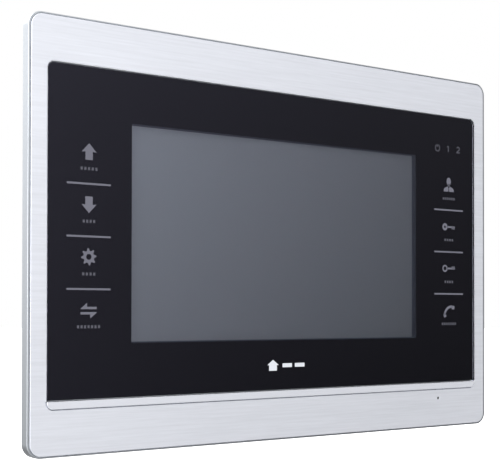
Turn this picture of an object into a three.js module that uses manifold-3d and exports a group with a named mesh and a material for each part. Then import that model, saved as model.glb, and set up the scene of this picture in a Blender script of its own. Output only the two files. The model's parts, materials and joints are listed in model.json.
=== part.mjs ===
// Wall-hung video intercom monitor with a 7-inch screen, touch keys and a steel hanging bracket.
//
// Units are millimetres. Every sub-part is drawn in the monitor's face frame: x to the viewer's right,
// y up, z out of the wall, with the wall plane at z = 0. The exported group turns that frame once, so
// that +Z is up and the front faces -Y, with the origin on the wall at the middle of the bracket.
import * as THREE from "three";
import { mergeVertices } from "three/addons/utils/BufferGeometryUtils.js";
import Module from "manifold-3d";

const wasm = await Module();
wasm.setup();

// ---------------------------------------------------------------- driving dimensions

const DEPTH = 26; // wall to the face of the glass
const GAP = 0.3; // visible joint between neighbouring front pieces
const TOUCH = 0.05; // stand-off between pieces that are stuck together

const FRAME = { width: 248.2, height: 168.4, radius: 5.6, back: 20.7, front: 25.3, wall: 2 };
const PLATE = { width: 245.9, height: 166.9, radius: 4.8, face: 25.6, thickness: 1.5, edge: 0.4 };
const OPENING = { width: 233.1, height: 132.7, radius: 3.3 };
const GLASS = { thickness: 2, bottom: -62.9, radius: 2.7 };
const TRIM = { thickness: 2.2, edge: 0.2, radius: 2.4 };
const MASK = { thickness: 0.2 };
const MASK_BACK = DEPTH - GLASS.thickness - TOUCH - MASK.thickness;
const WEB = { back: 22.4, ledge: 23.7, openingX: 112, openingTop: 61.5, openingBottom: -60 };

const SCREEN = { x: -0.78, y: 2.13, windowWidth: 156.3, windowHeight: 86.9 };
const LCD = {
  width: 165,
  height: 100,
  front: 22.5,
  cellThickness: 1.6,
  lip: 0.35,
  skirt: 0.5,
  viewWidth: 160,
  viewHeight: 91,
  back: 16.9,
};

const STRAP = { x: 60, width: 8, z: 15.9, thickness: 0.9, reach: 64.4 };

const KEYS = { leftX: -97.8, rightX: 99.8, rows: [32.7, 12.4, -7.9, -28.2], statusY: 50 };
const KEY_BOARD = { width: 23.4, bottom: -48, thickness: 1.2 };
const DIFFUSER = { width: 20, bottom: -42, thickness: 0.3 };

const MAIN_BOARD = { left: -42, right: 84, bottom: -48, top: 46, back: 11.6, thickness: 1.6 };
const BOARD_SCREWS = [
  [-38, 42],
  [80, 42],
  [-38, -3],
  [80, -44],
];

const SHELL = {
  width: 228,
  height: 149,
  radius: 11,
  back: 1,
  wall: 2,
  shoulder: 9, // depth of the rounded shoulder, from the back face forwards
  shoulderInset: 6, // how far the back face lies inside the side walls
};
const FLANGE = { width: 245.4, height: 165.6, radius: 4.4, thickness: 1.9 };
const CASE_SCREWS = { x: 104, y: 66.5, headRadius: 2.7, shankRadius: 1.4, seat: 5, joint: 18.5 };

const RECESS = { halfWidth: 61, bottom: -56, top: 48, floor: 3 };
const POCKET = { halfWidth: 34, bottom: -46, top: -9, floor: 8.6, wall: 2 };
const HEADER = { y: -38.5, height: 8, pitch: 2.5 };

const BRACKET = { width: 116, height: 92, radius: 6, thickness: 1.2, flange: 2.6 };
const CABLE_HOLE = { halfWidth: 32, bottom: -43.5, top: -11 };
const HOOK = { x: 47, width: 12, rise: 5.5, reach: 6.8, thickness: 1.2, roots: [24, -27] };
const LIFT = 6.5; // how far the monitor rises before it comes off the hooks

const SPEAKER = { x: -85, y: -28, radius: 18, front: 4 };
const MICROPHONE = {
  x: 91.4,
  y: -70.35,
  holeRadius: 0.65,
  bootRadius: 4.1,
  capsuleRadius: 3,
  depth: 4.6,
};
const SWITCH = { x: 32, z: 14.2, knobWidth: 4, travel: 3 };

// ---------------------------------------------------------------- materials

const finish = (color, roughness, metalness = 0) =>
  new THREE.MeshStandardMaterial({ color, roughness, metalness });
const material = {
  brushedAluminium: finish(0xdfe2e8, 0.38, 1),
  silverPaint: finish(0xc4cad2, 0.4, 0.6),
  touchGlass: new THREE.MeshStandardMaterial({
    color: 0x8a93a0,
    roughness: 0.05,
    transparent: true,
    opacity: 0.3,
  }),
  blackInk: finish(0x101114, 0.35),
  lcdGlass: finish(0x5c626c, 0.25),
  whitePlastic: finish(0xe8e8e4, 0.5),
  zincSteel: finish(0xb9bcc0, 0.4, 1),
  housingPlastic: finish(0x26272a, 0.6),
  boardGreen: finish(0x1d5a36, 0.45),
  chipBlack: finish(0x17181a, 0.5),
  tinPlate: finish(0xc9ccd0, 0.3, 1),
  amberFilm: finish(0xb5701f, 0.4),
  rubberBlack: finish(0x151515, 0.85),
  foamBlack: finish(0x222222, 0.95),
  paperCone: finish(0x1d1c1b, 0.9),
  ferrite: finish(0x3a3a3d, 0.5, 0.6),
  wireBlack: finish(0x18181a, 0.6),
  relayBlue: finish(0x2b5fa8, 0.45),
  labelWhite: finish(0xe9eaec, 0.6),
};

// ---------------------------------------------------------------- drawing helpers

// A closed three.js geometry as a manifold-3d solid.
function solid(geometry) {
  const bare = geometry.index ? geometry.toNonIndexed() : geometry.clone();
  bare.deleteAttribute("normal");
  bare.deleteAttribute("uv");
  const merged = mergeVertices(bare, 1e-4);
  return new wasm.Manifold(
    new wasm.Mesh({
      numProp: 3,
      vertProperties: merged.attributes.position.array,
      triVerts: new Uint32Array(merged.index.array),
    }),
  );
}

// A manifold-3d solid back as a three.js geometry.
function geometryOf(manifold) {
  const mesh = manifold.getMesh();
  const geometry = new THREE.BufferGeometry();
  geometry.setAttribute("position", new THREE.BufferAttribute(mesh.vertProperties, 3));
  geometry.setIndex(new THREE.BufferAttribute(mesh.triVerts, 1));
  geometry.computeVertexNormals();
  return geometry;
}

const join = (...solids) => solids.reduce((whole, next) => whole.add(next));
const cut = (whole, ...tools) => tools.reduce((rest, tool) => rest.subtract(tool), whole);

// A rectangle from its sides, with corner radii given bottom-left, bottom-right, top-right, top-left.
function rectangle(left, right, bottom, top, radii = 0) {
  const [bl, br, tr, tl] = Array.isArray(radii) ? radii : [radii, radii, radii, radii];
  const shape = new THREE.Shape();
  shape.moveTo(left + bl, bottom).lineTo(right - br, bottom);
  if (br) shape.absarc(right - br, bottom + br, br, -Math.PI / 2, 0);
  shape.lineTo(right, top - tr);
  if (tr) shape.absarc(right - tr, top - tr, tr, 0, Math.PI / 2);
  shape.lineTo(left + tl, top);
  if (tl) shape.absarc(left + tl, top - tl, tl, Math.PI / 2, Math.PI);
  shape.lineTo(left, bottom + bl);
  if (bl) shape.absarc(left + bl, bottom + bl, bl, Math.PI, Math.PI * 1.5);
  return shape;
}

const centred = (width, height, radius) =>
  rectangle(-width / 2, width / 2, -height / 2, height / 2, radius);

// A shape carried from one height above the wall to another. smooth sets the facets of its arcs.
function prism(shape, from, to, smooth = 4) {
  const options = { depth: to - from, bevelEnabled: false, curveSegments: smooth };
  return solid(new THREE.ExtrudeGeometry(shape, options).translate(0, 0, from));
}

// A prism whose edges at the far end are broken by a chamfer, or rounded with several steps.
function edgedPrism(shape, from, to, deep, inset, steps = 1, smooth = 4) {
  const options = {
    depth: to - deep - from,
    bevelThickness: deep,
    bevelSize: inset,
    bevelOffset: -inset,
    bevelSegments: steps,
    curveSegments: smooth,
  };
  const both = solid(new THREE.ExtrudeGeometry(shape, options).translate(0, 0, from));
  return both.subtract(box(-200, 200, -200, 200, from - deep - 1, from));
}

// Turns a solid about the x axis, so that what faced out of the wall faces into it.
const flipped = (manifold, about) =>
  solid(geometryOf(manifold).translate(0, 0, -about).rotateX(Math.PI).translate(0, 0, about));

function box(left, right, bottom, top, from, to) {
  const geometry = new THREE.BoxGeometry(right - left, top - bottom, to - from);
  return solid(geometry.translate((left + right) / 2, (bottom + top) / 2, (from + to) / 2));
}

// A cylinder that stands on the wall plane's normal.
function post(x, y, radius, from, to, sides = 16) {
  const geometry = new THREE.CylinderGeometry(radius, radius, to - from, sides);
  return solid(geometry.rotateX(Math.PI / 2).translate(x, y, (from + to) / 2));
}

// A solid of revolution about the wall's normal, from a profile of [radius, height] points.
function turned(profile, sides = 24) {
  const points = profile.map(([r, z]) => new THREE.Vector2(r, z));
  return new THREE.LatheGeometry(points, sides).rotateX(Math.PI / 2);
}

// A wire of round section along a smooth route.
function wire(route, diameter, steps) {
  const path = new THREE.CatmullRomCurve3(route.map((p) => new THREE.Vector3(...p)));
  const section = new THREE.Shape().absarc(0, 0, diameter / 2, 0, Math.PI * 2);
  const options = { extrudePath: path, steps, bevelEnabled: false, curveSegments: 4 };
  return new THREE.ExtrudeGeometry(section, options);
}

// A flat ribbon: a strip of one thickness that follows a polyline, drawn across its width.
function ribbon(line, thickness, width) {
  const offset = line.map(([a, b], i) => {
    const [pa, pb] = line[Math.max(i - 1, 0)];
    const [na, nb] = line[Math.min(i + 1, line.length - 1)];
    const length = Math.hypot(na - pa, nb - pb);
    return [a - ((nb - pb) / length) * thickness, b + ((na - pa) / length) * thickness];
  });
  const outline = [...line, ...offset.reverse()].map(([a, b]) => new THREE.Vector2(a, b));
  return new THREE.ExtrudeGeometry(new THREE.Shape(outline), {
    depth: width,
    bevelEnabled: false,
  });
}

function mesh(name, shape, look) {
  const geometry = shape.isBufferGeometry ? shape : geometryOf(shape);
  const made = new THREE.Mesh(geometry, look);
  made.name = name;
  return made;
}

function group(...children) {
  const made = new THREE.Group();
  made.add(...children);
  return made;
}

const placed = (object, x, y, z = 0) => {
  object.position.set(x, y, z);
  return object;
};

// ---------------------------------------------------------------- hanging bracket

// The stamped steel plate screwed to the wall, with a cable hole, four screw slots, two stiffening
// flanges, and four hooks that are lanced out of windows in it and point up.
function hangingBracket() {
  const { width, height, radius, thickness, flange } = BRACKET;
  const hole = CABLE_HOLE;
  let plate = prism(centred(width, height, radius), 0, thickness);
  plate = plate.subtract(
    prism(rectangle(-hole.halfWidth, hole.halfWidth, hole.bottom, hole.top, 4), -1, 2, 3),
  );
  const slot = { long: 9, wide: 3.9 };
  for (const [x, y] of [
    [-30, 31],
    [30, 31],
    [-30, 6],
    [30, 6],
  ]) {
    const outline = rectangle(
      x - slot.long / 2,
      x + slot.long / 2,
      y - slot.wide / 2,
      y + slot.wide / 2,
      slot.wide / 2 - 0.01,
    );
    plate = plate.subtract(prism(outline, -1, 2, 2));
  }
  for (const side of [-1, 1]) {
    const edge = side * (width / 2 - thickness / 2);
    const reach = height / 2 - radius - 3;
    plate = plate.add(
      box(edge - thickness / 2, edge + thickness / 2, -reach, reach, 0, flange),
    );
    for (const root of HOOK.roots) plate = withHook(plate, side * HOOK.x, root);
  }
  return mesh("bracket_plate", plate, material.zincSteel);
}

function withHook(plate, x, root) {
  const left = x - HOOK.width / 2;
  const right = x + HOOK.width / 2;
  const window = box(left - 0.4, right + 0.4, root, root + HOOK.rise + HOOK.reach - 2.8, -1, 2);
  const arm = box(left, right, root - HOOK.thickness, root, 0, HOOK.reach);
  const tongue = rectangle(left, right, root - HOOK.thickness, root + HOOK.rise, [0, 0, 2.5, 2.5]);
  const upright = prism(tongue, HOOK.reach - HOOK.thickness, HOOK.reach, 2);
  return join(plate.subtract(window), arm, upright);
}

// ---------------------------------------------------------------- front

// The brushed face plate, with the opening for the glass and trim and the microphone hole.
function facePlate() {
  const { width, height, radius, face, thickness, edge } = PLATE;
  const outline = centred(width, height, radius);
  const body = edgedPrism(outline, face - thickness, face, edge, edge, 2, 4);
  const opening = prism(
    centred(OPENING.width, OPENING.height, OPENING.radius),
    face - thickness - 1,
    face + 1,
    3,
  );
  const hole = post(MICROPHONE.x, MICROPHONE.y, MICROPHONE.holeRadius, 20, DEPTH, 12);
  return mesh("face_plate", cut(body, opening, hole), material.brushedAluminium);
}

// The silver frame around the plate: an outer wall, a rim that stands round the plate, a web that
// the plate is stuck to, a ledge that carries the glass, and bosses for the case and strap screws.
function frontFrame() {
  const { width, height, radius, back, front, wall } = FRAME;
  const rimEdge = 0.4;
  const pocket = centred(PLATE.width + 2 * GAP, PLATE.height + 2 * GAP, PLATE.radius + GAP);
  const plateSeat = PLATE.face - PLATE.thickness - TOUCH;
  const hollow = centred(width - 2 * wall, height - 2 * wall, radius - wall);
  const glassSeat = centred(OPENING.width + 0.8, OPENING.height + 0.8, OPENING.radius);
  const window = rectangle(
    -WEB.openingX,
    WEB.openingX,
    WEB.openingBottom,
    WEB.openingTop,
    4,
  );
  let body = cut(
    edgedPrism(centred(width, height, radius), back, front, rimEdge, rimEdge, 2, 4),
    prism(pocket, plateSeat, front + 1, 4),
    prism(hollow, back - 1, WEB.back, 3),
    prism(glassSeat, WEB.ledge, front, 2),
    prism(window, back, front, 2),
  );
  for (const [x, y] of caseScrewPlaces()) {
    const { joint, shankRadius } = CASE_SCREWS;
    body = body.add(post(x, y, 3.6, joint + 0.4, WEB.back + 0.4, 16));
    body = body.subtract(post(x, y, shankRadius + 0.35, joint, WEB.back - 0.2, 12));
  }
  for (const [x, y] of strapScrewPlaces()) {
    body = body.add(post(x, y, 2.8, STRAP.z + STRAP.thickness + 0.1, WEB.back + 0.4, 12));
    body = body.subtract(post(x, y, 1.3, STRAP.z, WEB.back - 0.2, 8));
  }
  const mouth = MICROPHONE.bootRadius + 0.35;
  body = body.subtract(post(MICROPHONE.x, MICROPHONE.y, mouth, back - 1, front, 20));
  return mesh("front_frame", body, material.silverPaint);
}

function caseScrewPlaces() {
  return [-CASE_SCREWS.x, 0, CASE_SCREWS.x].flatMap((x) => [
    [x, CASE_SCREWS.y],
    [x, -CASE_SCREWS.y],
  ]);
}

// The bright bar that closes the bottom of the opening, with its two lower corners rounded.
function trimBar() {
  const half = OPENING.width / 2 - GAP;
  const bottom = -OPENING.height / 2 + GAP;
  const top = GLASS.bottom - GAP / 3;
  const outline = rectangle(-half, half, bottom, top, [TRIM.radius, TRIM.radius, 0, 0]);
  const bar = edgedPrism(outline, DEPTH - TRIM.thickness, DEPTH, TRIM.edge, TRIM.edge, 1, 3);
  return mesh("trim_bar", bar, material.brushedAluminium);
}

function touchGlass() {
  const half = OPENING.width / 2 - GAP;
  const top = OPENING.height / 2 - GAP;
  const radii = [0.6, 0.6, GLASS.radius, GLASS.radius];
  const outline = rectangle(-half, half, GLASS.bottom, top, radii);
  const pane = edgedPrism(outline, DEPTH - GLASS.thickness, DEPTH, 0.2, 0.2, 1, 3);
  return mesh("touch_glass", pane, material.touchGlass);
}

// The black printed film behind the glass, with the clear window for the screen.
function maskFilm() {
  const half = OPENING.width / 2 - 2 * GAP;
  const top = OPENING.height / 2 - 2 * GAP;
  const { x, y, windowWidth, windowHeight } = SCREEN;
  const window = rectangle(
    x - windowWidth / 2,
    x + windowWidth / 2,
    y - windowHeight / 2,
    y + windowHeight / 2,
  );
  const front = MASK_BACK + MASK.thickness;
  const sheet = rectangle(-half, half, GLASS.bottom + GAP, top, [0.5, 0.5, 2.4, 2.4]);
  return mesh(
    "mask_film",
    prism(sheet, front - MASK.thickness, front, 2).subtract(prism(window, 20, DEPTH)),
    material.blackInk,
  );
}

// ---------------------------------------------------------------- screen

function screenGroup() {
  const { width, height, front, cellThickness, lip, skirt, viewWidth, viewHeight, back } = LCD;
  const inner = { width: width - 2 * skirt - 0.2, height: height - 2 * skirt - 0.2 };
  const bezel = cut(
    prism(centred(width, height, 1), back + 1.2, front, 1),
    prism(centred(width - 2 * skirt, height - 2 * skirt, 0), back, front - lip),
    prism(centred(viewWidth, viewHeight, 0), back, front + 1),
  );
  const cellFront = front - lip - TOUCH;
  const cell = prism(centred(inner.width, inner.height, 0), cellFront - cellThickness, cellFront);
  const lampFront = cellFront - cellThickness - TOUCH;
  const tray = join(
    prism(centred(inner.width, inner.height, 0.4), back + 0.8, lampFront, 1),
    prism(centred(inner.width - 4, inner.height - 4, 1), back, back + 0.8, 1),
  );
  const foam = cut(
    prism(centred(width - 2, height - 4, 1), front + TOUCH, MASK_BACK - TOUCH, 1),
    prism(centred(viewWidth + 0.6, viewHeight + 1.2, 0), front - 1, MASK_BACK),
  );
  return placed(
    group(
      mesh("lcd_bezel", bezel, material.tinPlate),
      mesh("lcd_cell", cell, material.lcdGlass),
      mesh("lcd_backlight", tray, material.whitePlastic),
      mesh("lcd_gasket", foam, material.foamBlack),
    ),
    SCREEN.x,
    SCREEN.y,
  );
}

// The film cable that leaves the lower edge of the screen and turns under it to the main board.
function screenFlex() {
  const edge = SCREEN.y - LCD.height / 2;
  const line = [
    [edge - 0.9, 18.4],
    [edge - 1.6, 16],
    [edge - 0.6, 14.6],
    [edge + 2, 14.2],
    [edge + 7, 13.65],
  ];
  const strip = ribbon(line, 0.3, 36).rotateX(Math.PI / 2).rotateZ(Math.PI / 2);
  return placed(mesh("lcd_flex", strip, material.amberFilm), 2, 0, 0);
}

function strapScrewPlaces() {
  return [-STRAP.x, STRAP.x].flatMap((x) => [
    [x, STRAP.reach],
    [x, -STRAP.reach],
  ]);
}

// A flat steel strap across the back of the screen that holds it in the frame.
function screenStrap(name, x) {
  const half = STRAP.width / 2;
  const end = STRAP.reach + 4;
  let strap = prism(
    rectangle(x - half, x + half, -end, end, 2),
    STRAP.z,
    STRAP.z + STRAP.thickness,
    1,
  );
  for (const y of [-STRAP.reach, STRAP.reach])
    strap = strap.subtract(post(x, y, 1.6, STRAP.z - 1, STRAP.z + 2, 12));
  return mesh(name, strap, material.zincSteel);
}

// ---------------------------------------------------------------- touch keys

// One key board: a sensor board behind the printed keys, with reversed lamps under each icon, a
// touch controller and a ribbon socket on its back.
function keyBoard(name, x, top, lampRows, lampXs) {
  const front = MASK_BACK - 2 * TOUCH - DIFFUSER.thickness;
  const back = front - KEY_BOARD.thickness;
  const half = KEY_BOARD.width / 2;
  let board = prism(rectangle(-half, half, KEY_BOARD.bottom, top, 1), back, front, 1);
  for (const y of lampRows)
    for (const lampX of lampXs(y))
      board = board.add(box(lampX - 1.5, lampX + 1.5, y - 0.8, y + 0.8, back - 0.7, back));
  board = board.add(box(-4, 4, -22, -14, back - 1.2, back));
  board = board.add(box(-2, 2, 2, 14, back - 1.4, back));
  return placed(mesh(name, board, material.boardGreen), x, 0);
}

function diffuser(name, x, top) {
  const front = MASK_BACK - TOUCH;
  const half = DIFFUSER.width / 2;
  const sheet = prism(
    rectangle(-half, half, DIFFUSER.bottom, top, 1),
    front - DIFFUSER.thickness,
    front,
    1,
  );
  return placed(mesh(name, sheet, material.whitePlastic), x, 0);
}

function touchKeys() {
  const keyLamps = (y) => (y === KEYS.statusY ? [-7.1, 0, 7.1] : [-3, 3]);
  return group(
    diffuser("diffuser_left", KEYS.leftX, 42),
    diffuser("diffuser_right", KEYS.rightX, 55),
    keyBoard("key_board_left", KEYS.leftX, 46, KEYS.rows, keyLamps),
    keyBoard("key_board_right", KEYS.rightX, 57.5, [...KEYS.rows, KEYS.statusY], keyLamps),
  );
}

// The film cable from a key board, over the screen's edge and under it to the main board.
function keyRibbon(name, side) {
  const line =
    side < 0
      ? [
          [-95.6, 20.2],
          [-86.4, 20],
          [-84.7, 18.6],
          [-84.5, 15.6],
          [-83, 14.4],
          [-50, 14.2],
          [-38, 13.7],
        ]
      : [
          [74, 13.7],
          [80, 14.2],
          [84.6, 14.5],
          [86, 16],
          [86.3, 18.8],
          [88, 20.2],
          [97.6, 20.2],
        ];
  const strip = ribbon(line, 0.3, 10).rotateX(Math.PI / 2);
  return placed(mesh(name, strip, material.amberFilm), 0, 13);
}

// ---------------------------------------------------------------- main board

function mainBoard() {
  const { left, right, bottom, top, back, thickness } = MAIN_BOARD;
  let board = prism(rectangle(left, right, bottom, top, 2), back, back + thickness, 1);
  for (const [x, y] of BOARD_SCREWS) board = board.subtract(post(x, y, 1.7, back - 1, 20, 12));
  const face = back + thickness;
  const sockets = [
    [-40, -34, 2, 14],
    [70, 76, 2, 14],
    [2, 38, -44, -40],
  ];
  for (const [x0, x1, y0, y1] of sockets)
    board = board.add(box(x0, x1, y0, y1, face, face + 0.35));
  // small parts in rows on the back of the board, clear of the wiring pocket
  for (let column = 0; column < 7; column++)
    for (const y of [40, 31, -1]) {
      const x = -28 + column * 11;
      board = board.add(box(x - 1, x + 1, y - 0.6, y + 0.6, back - 0.8, back));
    }
  return mesh("main_board", board, material.boardGreen);
}

// A square chip with a row of leads on two sides, hanging under the board.
function chip(name, x, y, size, height) {
  const top = MAIN_BOARD.back;
  const half = size / 2;
  let body = edgedPrism(centred(size, size, 0), 0, height, 0.2, 0.2, 1, 1);
  for (let i = -2; i <= 2; i++) {
    const a = (i * size) / 6;
    body = body.add(box(-half - 0.8, half + 0.8, a - 0.3, a + 0.3, 0, 0.3));
  }
  const part = mesh(name, body, material.chipBlack);
  part.rotation.x = Math.PI;
  return placed(part, x, y, top - TOUCH);
}

function boardParts() {
  const top = MAIN_BOARD.back - TOUCH;
  const can = (name, x, y, radius, height) => {
    const part = mesh(
      name,
      turned(
        [
          [0, 0],
          [radius, 0],
          [radius, height - 0.3],
          [radius - 0.3, height],
          [0, height],
        ],
        20,
      ),
      material.tinPlate,
    );
    part.rotation.x = Math.PI;
    return placed(part, x, y, top);
  };
  const shield = cut(box(-12, 12, -9, 9, top - 3, top), box(-11.6, 11.6, -8.6, 8.6, top - 2.6, top + 1));
  const relay = edgedPrism(centred(15, 10, 0.6), 0, 6, 0.4, 0.4, 1, 1);
  const relayMesh = mesh("door_relay", relay, material.relayBlue);
  relayMesh.rotation.x = Math.PI;
  const coil = join(
    prism(centred(10, 10, 1.5), top - 4.2, top, 2),
    post(0, 0, 4, top - 4.5, top - 4, 20),
  );
  return group(
    chip("processor", 8, 21, 14, 1.4),
    chip("video_decoder", 32, 21, 10, 1.2),
    chip("flash_memory", -12, 16, 7, 1.6),
    placed(mesh("radio_shield", shield, material.tinPlate), 62, 22),
    placed(mesh("power_inductor", coil, material.ferrite), 72, -10),
    can("capacitor_1", 50, 4, 3.15, 5.4),
    can("capacitor_2", 60, 4, 3.15, 5.4),
    placed(relayMesh, 66, -28, top),
  );
}

// A shrouded pin header on the back of the board, with its mouth towards the wall.
function header(name, x, pins) {
  const top = MAIN_BOARD.back - TOUCH;
  const half = ((pins - 1) * HEADER.pitch) / 2 + 2.45;
  const mouth = top - HEADER.height;
  let body = cut(
    box(-half, half, -2.9, 2.9, mouth, top),
    box(-half + 0.9, half - 0.9, -2.1, 2.1, mouth - 1, top - 1.6),
    box(-half + 2, half - 2, -4, -2, mouth - 1, top - 4),
  );
  for (let i = 0; i < pins; i++) {
    const a = (i - (pins - 1) / 2) * HEADER.pitch;
    body = body.add(box(a - 0.32, a + 0.32, -0.32, 0.32, mouth + 1, top - 1));
  }
  return placed(mesh(name, body, material.whitePlastic), x, HEADER.y);
}

const HEADERS = [
  ["door_header_1", -24, 4],
  ["door_header_2", -8.5, 4],
  ["intercom_header", 7, 4],
  ["power_header", 21, 2],
];

// ---------------------------------------------------------------- speaker and microphone

function speakerGroup() {
  const { radius, front } = SPEAKER;
  const basket = turned(
    [
      [radius - 3, front],
      [radius, front],
      [radius, front + 1],
      [radius - 1.6, front + 1.4],
      [9.4, front + 5],
      [8, front + 5],
      [8, front + 4.2],
      [radius - 3.4, front + 1],
      [radius - 3, front],
    ],
    28,
  );
  const magnet = turned(
    [
      [0, front + 4.4],
      [7.6, front + 4.4],
      [7.6, front + 9.2],
      [7, front + 9.8],
      [0, front + 9.8],
    ],
    24,
  );
  // the cone with its rolled edge and dust cap, free to move by half a millimetre each way
  const cone = turned(
    [
      [0, front + 0.9],
      [2.4, front + 1.1],
      [4.6, front + 2],
      [5, front + 2.3],
      [11, front + 0.7],
      [12.2, front + 0.6],
      [13.2, front + 0.7],
      [13.2, front + 1.05],
      [11.2, front + 1.1],
      [5.2, front + 2.8],
      [4.4, front + 2.8],
      [3.9, front + 2.4],
      [0, front + 1.4],
    ],
    28,
  );
  const gasket = cut(
    post(0, 0, radius - 0.2, front - 0.9, front - TOUCH, 28),
    post(0, 0, radius - 2.6, front - 2, front + 1, 28),
  );
  return placed(
    group(
      mesh("speaker_basket", basket, material.tinPlate),
      mesh("speaker_magnet", magnet, material.ferrite),
      mesh("speaker_cone", cone, material.paperCone),
      mesh("speaker_gasket", gasket, material.foamBlack),
    ),
    SPEAKER.x,
    SPEAKER.y,
  );
}

function microphoneGroup() {
  const { bootRadius, capsuleRadius, depth } = MICROPHONE;
  const front = PLATE.face - PLATE.thickness - TOUCH;
  const boot = turned(
    [
      [0.8, front],
      [bootRadius, front],
      [bootRadius, front - depth],
      [capsuleRadius + 0.25, front - depth],
      [capsuleRadius + 0.25, front - 1.1],
      [0.8, front - 1.1],
      [0.8, front],
    ].reverse(),
    24,
  );
  const capsule = turned(
    [
      [0, front - depth + 0.4],
      [capsuleRadius, front - depth + 0.4],
      [capsuleRadius, front - 1.2],
      [0, front - 1.2],
    ],
    24,
  );
  return placed(
    group(
      mesh("microphone_boot", boot, material.rubberBlack),
      mesh("microphone", capsule, material.tinPlate),
    ),
    MICROPHONE.x,
    MICROPHONE.y,
  );
}

function leads() {
  const speakerLead = wire(
    [
      [-70, -20, 9.5],
      [-64, -14, 11.5],
      [-54, -8, 13.9],
      [-46, -6, 14.1],
      [-38, -8, 14.1],
    ],
    1.4,
    14,
  );
  const microphoneLead = wire(
    [
      [91.4, -70.3, 19.2],
      [89, -68, 16.8],
      [80, -60, 15.2],
      [72, -52, 14.6],
      [68, -44, 14.1],
    ],
    1.4,
    14,
  );
  const switchLead = wire(
    [
      [34, -65, 13.4],
      [38, -60, 13.8],
      [42, -54, 14.2],
      [44.5, -48, 14.5],
      [44.5, -42, 14.1],
    ],
    1.4,
    12,
  );
  return group(
    mesh("speaker_lead", speakerLead, material.wireBlack),
    mesh("microphone_lead", microphoneLead, material.wireBlack),
    mesh("switch_lead", switchLead, material.wireBlack),
  );
}

// ---------------------------------------------------------------- rear housing

// The outside or inside form of the case: straight walls with a rounded shoulder at the back.
function shellForm(inset, back, front) {
  const outline = centred(
    SHELL.width - 2 * inset,
    SHELL.height - 2 * inset,
    SHELL.radius - inset,
  );
  const depth = front - back;
  const form = edgedPrism(outline, 0, depth, SHELL.shoulder, SHELL.shoulderInset, 6, 5);
  return flipped(form, 0).translate([0, 0, front]);
}

function rearHousing() {
  const { wall, back } = SHELL;
  const seam = FRAME.back - 0.1;
  const flange = prism(
    centred(FLANGE.width, FLANGE.height, FLANGE.radius),
    seam - FLANGE.thickness,
    seam,
    3,
  );
  let body = cut(
    join(shellForm(0, back, seam), flange),
    shellForm(wall, back + wall, seam + 1),
  );

  // the hollow that takes the bracket, and the deeper pocket that takes the plugs
  const r = RECESS;
  const p = POCKET;
  const recessFloor = rectangle(
    -r.halfWidth - wall,
    r.halfWidth + wall,
    r.bottom - wall,
    r.top + wall,
    7,
  );
  body = body.add(prism(recessFloor, back + wall - 0.5, r.floor + wall, 2));
  body = body.add(
    box(
      -p.halfWidth - p.wall,
      p.halfWidth + p.wall,
      p.bottom - p.wall,
      p.top + p.wall,
      r.floor + 1,
      p.floor + p.wall,
    ),
  );
  body = cut(
    body,
    prism(rectangle(-r.halfWidth, r.halfWidth, r.bottom, r.top, 5), back - 1, r.floor, 2),
    prism(rectangle(-p.halfWidth, p.halfWidth, p.bottom, p.top, 2), 0, p.floor, 2),
  );
  for (const [, x, pins] of HEADERS) {
    const half = ((pins - 1) * HEADER.pitch) / 2 + 2.45 + 0.35;
    body = body.subtract(
      box(x - half, x + half, HEADER.y - 3.25, HEADER.y + 3.25, 0, p.floor + p.wall + 1),
    );
  }
  for (const side of [-1, 1])
    for (const root of HOOK.roots) {
      const half = HOOK.width / 2 + 0.6;
      const x = side * HOOK.x;
      const low = root - HOOK.thickness - LIFT - 0.4;
      body = body.subtract(box(x - half, x + half, low, root + TOUCH, 0, r.floor + wall + 0.5));
    }

  body = withVents(withBosses(body));
  const notch = MICROPHONE.bootRadius + 0.46;
  body = body.subtract(post(MICROPHONE.x, MICROPHONE.y, notch, seam - 1.42, seam + 1, 24));
  return mesh("rear_housing", withSwitchSlot(body), material.housingPlastic);
}

// Posts for the main board, and tubes for the case screws with a counterbore for each head.
function withBosses(body) {
  let made = body;
  for (const [x, y] of BOARD_SCREWS) {
    const floor = Math.abs(x) < RECESS.halfWidth ? RECESS.floor : SHELL.back;
    made = made.add(post(x, y, 3.2, floor + 1, MAIN_BOARD.back - 0.1, 16));
    made = made.subtract(post(x, y, 1.45, RECESS.floor + 1, 20, 10));
  }
  for (const [x, y] of caseScrewPlaces()) {
    made = made.add(post(x, y, 4.6, SHELL.back + 1, CASE_SCREWS.joint, 20));
    made = made.subtract(post(x, y, CASE_SCREWS.shankRadius + 0.35, 0, 30, 12));
    made = made.subtract(post(x, y, CASE_SCREWS.headRadius + 0.4, -1, CASE_SCREWS.seat, 20));
  }
  return made;
}

// Cooling slots along the top and bottom shoulders, and the speaker's grille.
function withVents(body) {
  let made = body;
  const slot = { count: 8, pitch: 9.6, first: 16, width: 2.4, from: 57, to: 69.5 };
  for (let i = 0; i < slot.count; i++)
    for (const side of [-1, 1])
      for (const end of [-1, 1]) {
        const x = side * (slot.first + i * slot.pitch);
        const [low, high] = end > 0 ? [slot.from, slot.to] : [-slot.to, -slot.from];
        const outline = rectangle(x - slot.width / 2, x + slot.width / 2, low, high);
        made = made.subtract(prism(outline, 0, 9));
      }
  const grille = { rows: 4, pitch: 3.6, width: 1.6, radius: 14.5 };
  for (let row = -grille.rows; row <= grille.rows; row++) {
    const y = row * grille.pitch;
    const half = Math.sqrt(grille.radius ** 2 - y ** 2) + (Math.abs(row) === grille.rows ? 4 : 0);
    const outline = rectangle(
      SPEAKER.x - half,
      SPEAKER.x + half,
      SPEAKER.y + y - grille.width / 2,
      SPEAKER.y + y + grille.width / 2,
      grille.width / 2 - 0.01,
    );
    made = made.subtract(prism(outline, 0, 3.5, 1));
  }
  return made;
}

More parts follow.
